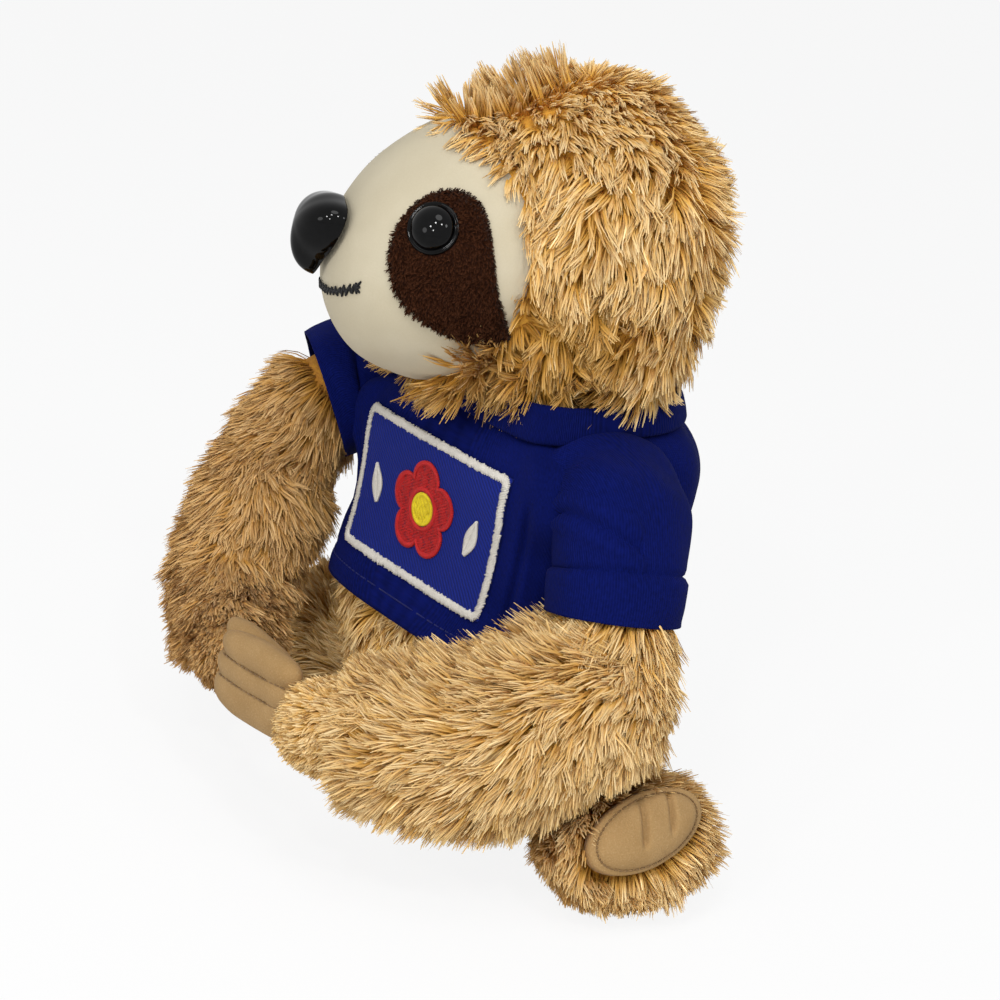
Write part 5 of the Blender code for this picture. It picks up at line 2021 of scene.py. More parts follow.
@dataclass
class Shirt:
    """The knitted T-shirt: body, sleeves, hems and rib collar."""

    shape: TorsoShape
    hem_up: float = 0.0510
    top_up: float = 0.1030
    clearance: float = 0.0013
    cloth: float = 0.0009
    collar_low: float = 0.1022
    collar_height: float = 0.0078
    collar_spread: float = 0.0008
    collar_cloth: float = 0.0020
    girth: float = 0.21

    def build(self) -> None:
        """Build every piece of the shirt."""
        self.build_body()
        self.build_collar()
        for side in Side:
            self.build_sleeve(side)

    def folds(self, turn: float, up: float) -> float:
        """Give how far the body cloth stands off at a place: its soft folds.

        Args:
            turn: The angle round the body.
            up: The height.

        Returns:
            The distance.
        """
        angle = math.atan2(math.sin(turn), math.cos(turn))
        low = smooth_step((self.hem_up + 0.016 - up) / 0.016)
        upright = 0.5 + 0.5 * math.cos(angle * 9 + 2.2 * math.sin(up * 90) + 1.0)
        side_share = smooth_step((abs(math.cos(turn)) - 0.35) / 0.5)
        slack = 0.0013 * upright * side_share * smooth_step((up - self.hem_up) / 0.012)
        wrinkle = 0.0005 * (noise.noise(Vector((angle * 2.4, up * 60, 1.5))) + 0.6)
        back = 0.0009 * smooth_step(math.sin(turn)) * (0.5 + 0.5 * math.sin(up * 210 + angle * 3))
        shoulder = smooth_step((abs(math.cos(turn)) - 0.50) / 0.35) * smooth_step((up - 0.076) / 0.012)
        shoulder *= smooth_step((0.1015 - up) / 0.004) * smooth_step((0.20 - math.sin(turn)) / 0.5)
        beside = abs(abs(angle + math.pi / 2) - 0.76)
        groove = math.exp(-((beside / 0.07) ** 2)) * (math.sin(turn) < 0)
        groove *= smooth_step((0.094 - up) / 0.01) * smooth_step((up - 0.054) / 0.01)
        return self.clearance + slack + wrinkle + back + 0.0007 * low + 0.0030 * shoulder - 0.0019 * groove

    def build_body(self) -> None:
        """Build the shirt's body, with a turned hem and its stitches."""
        def place(turn_share: float, row: float) -> Vector:
            """Give a place on the cloth.

            Args:
                turn_share: The share of a whole turn.
                row: The share from the first row to the last.

            Returns:
                The point.
            """
            turn = turn_share * 2 * math.pi
            up = self.hem_up + (self.top_up - self.hem_up) * row
            stand = self.folds(turn, up) + self.cloth
            crease = 0.0004 * math.exp(-(((up - self.hem_up - 0.0046) / 0.0006) ** 2))
            spot = self.shape.ring(up, turn, stand - crease)
            if row < 0.02:
                spot.z -= 0.0002
            return spot

        net = woven(180, 60, place, size=(self.girth, self.top_up - self.hem_up))
        piece = shown("shirt_body_cloth", net, JERSEY.build())
        thicken(piece, Vector((0, 0.01, 0.075)), self.cloth)
        declare(piece, Body.TORSO, "shirt_knit", "shirt_body")

        seam_up = self.hem_up + 0.0042

        def on_seam(share: float) -> tuple[Vector, Vector]:
            """Give a place on the hem's seam and its outward direction.

            Args:
                share: The share along the line, 0 to 1.

            Returns:
                The place and its outward direction.
            """
            turn = share * 2 * math.pi
            spot = self.shape.ring(seam_up, turn, self.folds(turn, seam_up) + self.cloth - 0.0002)
            return spot, Vector((spot.x * 0.8, spot.y - 0.01, 0)).normalized()

        needle = Needle()
        needle.sew_row(150, (0.12, 0.37, 0.63, 0.88), on_seam, 0.00036, 0.00022)
        hem = needle.finish("shirt_hem_stitches", BLUE_THREAD.build())
        declare(hem, Body.TORSO, "shirt_knit")

    def build_collar(self) -> None:
        """Build the folded rib band round the neck."""
        def place(turn_share: float, row: float) -> Vector:
            """Give a place on the band.

            Args:
                turn_share: The share of a whole turn.
                row: The share from the first row to the last.

            Returns:
                The point.
            """
            turn = turn_share * 2 * math.pi
            angle = row * 2 * math.pi
            wave = 0.0007 * noise.noise(Vector((math.cos(turn) * 2.1, math.sin(turn) * 2.1, 4)))
            height = self.collar_height * (1 - 0.12 * math.sin(turn * 2))
            up = self.collar_low + height * (0.5 - 0.5 * signed_power(math.cos(angle), 0.5))
            out = self.collar_cloth / 2 * (1 + signed_power(math.sin(angle), 0.7))
            lean = 0.0016 * smooth_step((up - self.collar_low) / self.collar_height)
            base = self.shape.ring(min(up, 0.1015), turn, self.collar_spread + 0.0012 + out + wave - lean)
            base.z = up
            return base

        net = woven(180, 16, place, merge=1e-5, size=(self.girth, 0.021))
        piece = shown("neck_band_rib", net, RIB.build())
        declare(piece, Body.TORSO, "shirt_knit", "neck_band")

    def sleeve_line(self, side: Side, share: float) -> tuple[Vector, float, float]:
        """Give the sleeve's middle line and its two half sizes.

        Args:
            side: Which sleeve.
            share: From the armhole (0) to the rim (1).

        Returns:
            The place, half height and half depth.
        """
        knots = [Vector(row[:3]) for row in SLEEVE_ROWS[side]]
        sizes = [Vector((*row[3:], 0)) for row in SLEEVE_ROWS[side]]
        size = LimbShape.along(sizes, share)
        return LimbShape.along(knots, share), size.x, size.y

    def build_sleeve(self, side: Side) -> None:
        """Build one sleeve, from the armhole seam to a turned rim.

        Args:
            side: Which sleeve.
        """
        sign = side.value
        hem = 0.72
        rim_tilt = 0.0045 if side is Side.RIGHT else 0.0

        def place(turn_share: float, row: float) -> Vector:
            """Give a place on the sleeve.

            Args:
                turn_share: The share of a whole turn.
                row: The share from the first row to the last.

            Returns:
                The point.
            """
            turn = turn_share * 2 * math.pi
            spot, high, deep = self.sleeve_line(side, row)
            after, before = self.sleeve_line(side, min(row + 0.03, 1))[0], self.sleeve_line(
                side, max(row - 0.03, 0)
            )[0]
            ahead = (after - before).normalized()
            if row < 0.25:
                ahead = ahead.lerp(Vector((sign, 0, 0)), 1 - row / 0.25).normalized()
            depth_way = (Vector((0, 1, 0)) - ahead * ahead.y).normalized()
            up_way = depth_way.cross(ahead)
            inner = 0.5 - 0.5 * math.sin(turn)
            fold = 0.0005 * math.sin(turn * 3 + row * 5) * math.sin(math.pi * min(row * 1.3, 1))
            fold += 0.0009 * noise.noise(
                Vector((math.cos(turn) * 1.5, math.sin(turn) * 1.5, row * 2.6 + sign))
            )
            fold -= 0.0020 * math.exp(-(((row - 0.30 - 0.05 * math.cos(turn)) / 0.07) ** 2)) * inner
            for crest, depth in ((0.40, 0.0010), (0.47, -0.0009), (0.54, 0.0008)):
                line = crest - 0.16 * (math.pi + 0.3 - turn)
                fold += depth * math.exp(
                    -(((row - line) / 0.03) ** 2)
                ) * smooth_step((turn - 1.5) / 0.9) * (turn < 4.4)
            fold -= 0.0008 * math.exp(-(((row - hem + 0.008) / 0.014) ** 2))
            fold += 0.0009 * smooth_step((row - hem) / 0.03) * (1 - 0.5 * smooth_step((row - 0.85) / 0.15))
            spot = spot - ahead * rim_tilt * up_way.z * math.sin(turn) * smooth_step(row * 1.4 - 0.3)
            square = 0.72 + 0.28 * smooth_step((row - 0.3) / 0.4) if side is Side.LEFT else 1.0
            spot += depth_way * signed_power(math.cos(turn), square) * (deep + fold)
            return spot + up_way * signed_power(math.sin(turn), square) * (high + fold)

        piece = shown(
            side.label + "_sleeve_cloth", woven(120, 56, place, size=(0.1, 0.036)), JERSEY.build()
        )
        thicken(piece, Vector((sign * 0.046, 0, 0.085)), self.cloth, offset=1)
        side.label + "_upper_arm_cloth"
        settle(piece)
        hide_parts(side.label + "_sleeve")
        side.label + "_arm"
        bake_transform(piece)
        log.info("%s: %d faces", piece.name, len(piece.data.polygons))


@dataclass
class ChestPatch:
    """The embroidered patch: twill ground, satin border, a flower and two leaves."""

    shape: TorsoShape
    width: float = 0.055
    height: float = 0.0345
    middle_up: float = 0.0775
    proud: float = 0.0034
    border: float = 0.0018
    flower_radius: float = 0.0118
    centre_radius: float = 0.0040
    leaf: Triple = (0.0095, 0.0046, 0.0190)

    def on_patch(self, side: float, up: float, lift: float) -> tuple[Vector, Vector]:
        """Give a place on the patch in the world and the outward direction.

        Args:
            side: The place across the patch.
            up: The place up the patch.
            lift: How far it is lifted.

        Returns:
            The place and the direction.
        """
        spot = self.shape.chest(side, self.middle_up + up, self.proud + lift)
        step = 0.0004
        right = self.shape.chest(side + step, self.middle_up + up, self.proud) - self.shape.chest(
            side - step, self.middle_up + up, self.proud
        )
        above = self.shape.chest(side, self.middle_up + up + step, self.proud) - self.shape.chest(
            side, self.middle_up + up - step, self.proud
        )
        return spot, right.cross(above).normalized()

    def sew(self, needle: Needle, start: Pair, end: Pair, width: float, rise: float, lift: float) -> None:
        """Sew one straight stitch between two places of the patch.

        Args:
            needle: The needle.
            start: Where the stitch starts.
            end: Where it ends.
            width: The thread's width.
            rise: How high it stands.
            lift: How far it is lifted.
        """
        length = math.hypot(end[0] - start[0], end[1] - start[1])
        count = max(3, min(6, round(length / 0.0009) + 2))
        line = []
        for index in range(count):
            share = index / (count - 1)
            side, up = (one + (other - one) * share for one, other in zip(start, end))
            line.append(self.on_patch(side, up, lift))
        needle.stitch([spot for spot, _ in line], [normal for _, normal in line], width, rise)

    def fill(
        self, needle: Needle, inside: Callable[[float, float], bool], reach: Pair, angle: float,
        pitch: float, rise: float, longest: float, seed: int,
    ) -> None:
        """Fill an outline with rows of stitches.

        Args:
            needle: The needle.
            inside: Whether a place lies in the outline.
            reach: Half the width and height that the rows cover.
            angle: The way that the rows run.
            pitch: The space between rows.
            rise: How high the stitches stand.
            longest: The longest stitch.
            seed: For the small unevenness.
        """
        rng = np.random.default_rng(seed)
        cosine, sine = math.cos(angle), math.sin(angle)
        span = math.hypot(*reach)
        rows = int(span / pitch)
        for row in range(-rows, rows + 1):
            offset = row * pitch
            samples = np.linspace(-span, span, 240)
            flags = [inside(s * cosine - offset * sine, s * sine + offset * cosine) for s in samples]
            start = None
            for index, flag in enumerate(flags + [False]):
                if flag and start is None:
                    start = samples[index]
                elif not flag and start is not None:
                    end = samples[index - 1]
                    self.run(needle, (start, end), offset, (cosine, sine), pitch, rise, longest, rng)
                    start = None

    def run(
        self, needle: Needle, ends: Pair, offset: float, way: Pair, pitch: float, rise: float,
        longest: float, rng: np.random.Generator,
    ) -> None:
        """Sew one row as stitches of a limited length.

        Args:
            needle: The needle.
            ends: Where the row starts and ends along its way.
            offset: The row's place across its way.
            way: The row's direction.
            pitch: The space between rows.
            rise: How high the stitches stand.
            longest: The longest stitch.
            rng: The seeded source of chance.
        """
        start, end = ends
        if end - start < pitch:
            return
        cosine, sine = way
        cuts = [start]
        spot = start + longest * (0.4 + 0.6 * rng.random())
        while spot < end - longest * 0.3:
            cuts.append(spot)
            spot += longest * (0.9 + 0.2 * rng.random())
        cuts.append(end)
        for low, high in zip(cuts, cuts[1:]):
            first = (low * cosine - offset * sine, low * sine + offset * cosine)
            last = (high * cosine - offset * sine, high * sine + offset * cosine)
            self.sew(needle, first, last, pitch * 1.12, rise, 0.0001)

    def build(self) -> None:
        """Build every piece of the patch."""
        self.build_ground()
        self.build_border()
        self.build_flower()
        for side in Side:
            self.build_leaf(side)

    def build_ground(self) -> None:
        """Build the twill ground."""
        def place(across: float, up: float) -> Vector:
            """Give a place on the ground."""
            return self.on_patch((across - 0.5) * self.width, (up - 0.5) * self.height, 0.0)[0]

        net = woven(72, 46, place, wrap=False, size=(self.width, self.height))
        piece = shown("patch_ground_twill", net, TWILL.build())
        thicken(piece, Vector((0, 0.01, 0.0775)), 0.0009)
        declare(piece, Body.TORSO, "patch_twill", "patch_ground")

    def build_border(self) -> None:
        """Build the satin border: stitches across the edge, fanned at the corners."""
        needle = Needle()
        corner, spacing, arc_steps = 0.0022, 0.00038, 8
        far_x, far_y = self.width / 2 - corner, self.height / 2 - corner
        centres = ((far_x, far_y, 0), (-far_x, far_y, 90), (-far_x, -far_y, 180), (far_x, -far_y, 270))
        outline = []
        for index, (x, y, start) in enumerate(centres):
            for step in range(arc_steps + 1):
                angle = math.radians(start + step * 90 / arc_steps)
                cosine, sine = math.cos(angle), math.sin(angle)
                outline.append((x + corner * cosine, y + corner * sine, cosine, sine))
            angle = math.radians(start + 90)
            cosine, sine = math.cos(angle), math.sin(angle)
            ends = (centres[index], centres[(index + 1) % 4])
            first, last = ((spot[0] + corner * cosine, spot[1] + corner * sine) for spot in ends)
            count = int(math.dist(first, last) / spacing)
            for step in range(1, count):
                x, y = (one + (other - one) * step / count for one, other in zip(first, last))
                outline.append((x, y, cosine, sine))
        rng = np.random.default_rng(51)
        for x, y, out_x, out_y in outline:
            jitter = 0.00012 * rng.standard_normal()
            out = 0.0003 + jitter
            inner = -self.border + 0.0002 + 0.00012 * rng.standard_normal()
            start = (x + out_x * out - out_y * 0.00015, y + out_y * out + out_x * 0.00015)
            end = (x + out_x * inner + out_y * 0.00015, y + out_y * inner - out_x * 0.00015)
            self.sew(needle, start, end, 0.00044, 0.0006, 0.0)
        declare(
            needle.finish("patch_border_satin", WHITE_THREAD.build()), Body.TORSO, "thread_white",
            "patch_border",
        )

    def petal_reach(self, turn: float) -> float:
        """Give the flower's outline: five round petals."""
        wave = abs(math.cos(2.5 * turn - math.pi / 4))
        return self.flower_radius * (0.68 + 0.32 * wave ** 0.6)

    def build_flower(self) -> None:
        """Build the red petals, their edges and the yellow centre."""
        petals = Needle()

        def in_petals(x: float, y: float) -> bool:
            """Say whether a place lies in the red petals."""
            reach = math.hypot(x, y)
            return self.centre_radius < reach < self.petal_reach(math.atan2(y, x)) - 0.0006

        self.fill(petals, in_petals, (0.0122, 0.0122), math.radians(14), 0.00036, 0.0004, 0.0032, 61)
        count = 190
        for index in range(count):
            turn = 2 * math.pi * index / count
            for reach, width in ((self.petal_reach(turn), 0.0013), (self.centre_radius + 0.0013, 0.0011)):
                if width == 0.0011 and index % 2:
                    continue
                cosine, sine = math.cos(turn), math.sin(turn)
                lean = 0.02
                start = (reach * math.cos(turn + lean), reach * math.sin(turn + lean))
                self.sew(
                    petals, start, ((reach - width) * cosine, (reach - width) * sine), 0.00046, 0.0007,
                    0.0001,
                )
        declare(
            petals.finish("patch_flower_satin", RED_THREAD.build()), Body.TORSO, "thread_red",
            "patch_flower",
        )

        centre = Needle()
        inside = lambda x, y: math.hypot(x, y) < self.centre_radius - 0.0002
        self.fill(centre, inside, (0.0042, 0.0042), math.radians(100), 0.00038, 0.0006, 0.0024, 62)
        for index in range(72):
            turn = 2 * math.pi * index / 72
            start = (self.centre_radius * math.cos(turn + 0.04), self.centre_radius * math.sin(turn + 0.04))
            end = (
                (self.centre_radius - 0.0010) * math.cos(turn),
                (self.centre_radius - 0.0010) * math.sin(turn),
            )
            self.sew(centre, start, end, 0.0004, 0.0008, 0.0001)
        declare(
            centre.finish("patch_flower_centre_satin", YELLOW_THREAD.build()), Body.TORSO, "thread_yellow",
            "patch_flower_centre",
        )

    def build_leaf(self, side: Side) -> None:
        """Build one white leaf in satin stitches that meet at its middle line.

        Args:
            side: Which leaf.
        """
        length, width, out = self.leaf
        needle = Needle()
        count = 26
        for index in range(count):
            share = (index + 0.5) / count
            along = (share - 0.5) * length
            for half in (1, -1):
                across = half * width / 2 * math.sin(math.pi * share) * 1.05
                if abs(across) < 0.0004:
                    continue
                middle = (
                    side.value * (out + along * 0.04 + share * length * 0.25 - 0.0012), along + 0.0003
                )
                edge = (
                    side.value * (out + across * 0.8 + share * length * 0.25 - 0.0012),
                    along - across * 0.25 - 0.0005,
                )
                self.sew(needle, middle, edge, 0.0005, 0.0007, 0.0001)
        name = "patch_leaf_" + side.label
        declare(needle.finish(name + "_satin", WHITE_THREAD.build()), Body.TORSO, "thread_white", name)


# Limbs
@dataclass
class Arm:
    """One arm: furry upper arm and forearm, and a suede mitt with three fingers."""

    side: Side
    shoulder: Vector
    elbow: Vector
    wrist: Vector
    upper_bend: tuple[float, Vector]
    lower_bend: tuple[float, Vector]
    shoulder_flat: float
    forearm_radius: float
    sleeve_end: float
    finish: FurFinish
    mitt_middle: Pair
    elbow_radius: float = 0.0165
    arm_radius: float = 0.0120
    wrist_radius: float = 0.0122
    pile_depth: float = 0.0028
    strand: float = 0.0105
    parting_rise: float = 0.25
    upper_pile: float = 0.0026
    parting: Triple = (0.72, -0.60, 0.34)
    palm_forward: float = 0.0573
    pad_room: float = 0.00135
    mitt_half: float = 0.0172
    mitt_thick: float = 0.0036
    mitt_flat: float = 0.0007
    slope_deg: float = 5.0
    fingers: Rows = ((0.372, 0.901, 0.233), (0.058, 1.000, 0.256), (-0.302, 1.035, 0.326))

    @property
    def upper(self) -> LimbShape:
        """The upper arm's form.

        Returns:
            The form.
        """
        middle = self.shoulder.lerp(self.elbow, self.upper_bend[0]) + self.upper_bend[1]
        sizes = ((self.arm_radius, self.shoulder_flat), (self.arm_radius,) * 2, (self.arm_radius,) * 2)
        return LimbShape((self.shoulder, middle, self.elbow), sizes, (1, 0, 0))

    @property
    def lower(self) -> LimbShape:
        """The forearm's form.

        Returns:
            The form.
        """
        middle = self.elbow.lerp(self.wrist, self.lower_bend[0]) + self.lower_bend[1]
        sizes = ((self.elbow_radius,) * 2, (self.forearm_radius,) * 2, (self.wrist_radius,) * 2)
        return LimbShape((self.elbow, middle, self.wrist), sizes)

    def bodies(self) -> tuple[Body, Body]:
        """Give the bodies of the upper arm and the forearm."""
        if self.side is Side.LEFT:
            return Body.LEFT_ARM, Body.LEFT_LOWER_ARM
        return Body.RIGHT_ARM, Body.RIGHT_LOWER_ARM

    def build(self) -> None:
        """Build every piece of the arm."""
        label = self.side.label
        arm, lower_arm = self.bodies()
        seed = 70 + self.side.value
        pile = self.finish.strands()
        inner = self.upper
        inner.sizes = ((0.0108, self.shoulder_flat - 0.0025), (0.0116, 0.0116), (0.012, 0.012))
        cloth = padded_form(
            label + "_upper_arm_cloth", inner.form(-self.upper_pile, 36, 32), self.finish.backing()
        )
        declare(cloth, arm, "fur", label + "_upper_arm")
        coat = FurCoat(
            label + "_upper_arm_fur", seed, 1900, self.comb_upper, keep=self.below_sleeve, strands=7,
            length=self.strand,
        )
        declare(coat.grow(cloth, pile), arm, "fur")
        cloth = padded_form(
            label + "_forearm_cloth", self.lower.form(-self.pile_depth, 44, 44), self.finish.backing()
        )
        declare(cloth, lower_arm, "fur", label + "_forearm")
        for number, half in enumerate(("elbow", "hand")):
            coat = FurCoat(
                label + "_forearm_fur_" + half, seed + 5 + number, 3500, self.comb_lower, strands=7,
                length=self.strand, length_rule=self.length_lower,
                keep=lambda spots, number=number: (self.share_along(spots)[0] < 0.5) == (number == 0),
            )
            declare(coat.grow(cloth, pile), lower_arm, "fur")
        self.build_mitt(lower_arm)

    def below_sleeve(self, spots: Array) -> Array:
        """Keep the pile where the sleeve doesn't press on it.

        Args:
            spots: Places on the cloth.

        Returns:
            1 where the pile stays and 0 elsewhere.
        """
        start = LimbShape.along(self.upper.points, self.sleeve_end)
        way = self.upper.tangent(self.sleeve_end)
        past = (spots - np.array(start)[None, :]) @ np.array(way)
        return (past > 0.0005).astype(float)

    def comb_upper(self, spots: Array, normals: Array) -> Array:
        """Comb the upper arm's pile along the arm and down.

        Args:
            spots: Places on the cloth.
            normals: The cloth's outward directions.

        Returns:
            The directions.
        """
        way = (self.elbow - self.shoulder).normalized()
        flow = np.tile(np.array(way), (len(spots), 1))
        return flow + np.array([0, 0, -0.5])[None, :] + 0.35 * normals

    def share_along(self, spots: Array) -> tuple[Array, Array, Array]:
        """Find each place's nearest share of the forearm's line.

        Args:
            spots: Places on the forearm.

        Returns:
            The shares, the line's places and its directions there.
        """
        shares = np.linspace(0, 1, 41)
        line = np.array([tuple(LimbShape.along(self.lower.points, s)) for s in shares])
        ways = np.array([tuple(self.lower.tangent(s)) for s in shares])
        nearest = np.argmin(np.linalg.norm(spots[:, None, :] - line[None, :, :], axis=2), axis=1)
        return shares[nearest], line[nearest], ways[nearest]

    def comb_lower(self, spots: Array, normals: Array) -> Array:
        """Comb the forearm's pile toward the hand, parting along its outer middle.

        Args:
            spots: Places on the cloth.
            normals: The cloth's outward directions.

        Returns:
            The directions.
        """
        share, line, ways = self.share_along(spots)
        across = np.cross(ways, np.array([self.parting]))
        across /= np.linalg.norm(across, axis=1, keepdims=True)
        offset = np.sum((spots - line) * across, axis=1, keepdims=True) / self.forearm_radius
        ease = ease_in(share[:, None] / 0.42)
        rise = offset * np.sign(across[:, 2:3]) - self.parting_rise
        aside = across * np.sign(across[:, 2:3]) * np.clip(rise * 0.95, -1.1, 1.1)
        low = ease_in(0.6 - rise)
        flow = ways * (0.45 + 0.40 * ease) + aside * 0.85 + np.array([[0, 0, -1.0]]) * (1 - ease) * low * 0.8
        return flow + normals * ease_in(rise * 1.4) * 0.55 * (self.side is Side.LEFT)

    def length_lower(self, spots: Array) -> Array:
        """Shorten the pile near the hand.

        Args:
            spots: Places on the cloth.

        Returns:
            The shares of the full length.
        """
        share, line, _ = self.share_along(spots)
        above = ease_in((spots[:, 2] - line[:, 2]) / self.forearm_radius)
        under = ease_in((line[:, 2] - spots[:, 2]) / self.forearm_radius)
        away = (spots - line) @ np.array([self.side.value * 0.62, 0.78, 0.0])
        behind = ease_in(away / self.forearm_radius + 0.2) * ease_in(1.2 - share / 0.3)
        length = 1 - 0.58 * ease_in((share - 0.84) / 0.12) + 0.22 * above * ease_in(1 - share / 0.9)
        return length * (1 - 0.24 * under) * (1 - 0.55 * behind)

    def finger_place(self, number: int, x: float, y: float, z: float) -> Vector:
        """Give a place on one finger's rounded form.

        Args:
            number: Which finger.
            x: The unit form's place across the palm.
            y: The unit form's place through the palm.
            z: The unit form's place along the finger.

        Returns:
            The point.
        """
        sign = self.side.value
        across, half_length, half_width = (share * self.mitt_half for share in self.fingers[number])
        away = self.pad_room + self.mitt_thick - self.mitt_flat
        spot = Vector((z * half_length, y * self.mitt_thick, x * half_width))
        spot.rotate(Matrix.Rotation(-sign * math.radians(self.slope_deg), 3, "Y"))
        side_place, up_place = self.mitt_middle
        return spot + Vector((side_place, -self.palm_forward - sign * away, up_place + across))

    def build_mitt(self, body: Body) -> None:
        """Build the suede mitt, with seams between its three fingers.

        Args:
            body: The forearm's body.
        """
        sign = self.side.value
        label = self.side.label
        form = bmesh.new()
        for number in range(3):
            ball = unit_ball(40, 40)
            for vertex in ball.verts:
                x, y, z = vertex.co
                round_off = (1 - abs(z) ** 2.8) ** (1 / 2.8) / max(
                    math.sqrt(max(1 - z * z, 0)), 1e-3
                ) if abs(z) < 0.999 else 1
                vertex.co = self.finger_place(number, x * round_off, y * min(round_off, 1.25), z)
            mesh = bpy.data.meshes.new("finger")
            ball.to_mesh(mesh)
            ball.free()
            form.from_mesh(mesh)
        mesh = mesh_of(form)
        piece = shown(label + "_mitt", mesh, SUEDE.build())
        add_modifier(piece, "REMESH", mode="VOXEL", voxel_size=0.0004)
        add_modifier(piece, "SMOOTH", factor=0.5, iterations=3)
        settle(piece)
        palm = -self.palm_forward - sign * self.pad_room
        for vertex in piece.data.vertices:
            beyond = (vertex.co.y - palm) * sign
            if beyond > 0:
                vertex.co.y = palm
            vertex.co += vertex.normal * 0.00025 * noise.noise(vertex.co * 140)
        declare(piece, body, "suede", label + "_claws")

        needle = Needle()
        for low, high in ((0, 1), (1, 2)):
            def on_seam(share: float) -> tuple[Vector, Vector]:
                """Give a place between two fingers and its outward direction.

                Args:
                    share: The share along the line, 0 to 1.

                Returns:
                    The place and its outward direction.
                """
                along = -0.82 + 1.64 * share
                up = max(1 - along * along, 0) ** 0.5
                one = self.finger_place(low, -0.72 * up, -sign * 0.74 * up, along)
                two = self.finger_place(high, 0.72 * up, -sign * 0.74 * up, along)
                return one.lerp(two, 0.5) - Vector((0, sign * 0.0004, 0)), Vector((0, -sign, 0))

            needle.sew_row(14, (0.1, 0.4, 0.7, 0.95), on_seam, 0.00045, 0.0003)
        declare(needle.finish(label + "_mitt_stitches", TAN_THREAD.build()), body, "suede")


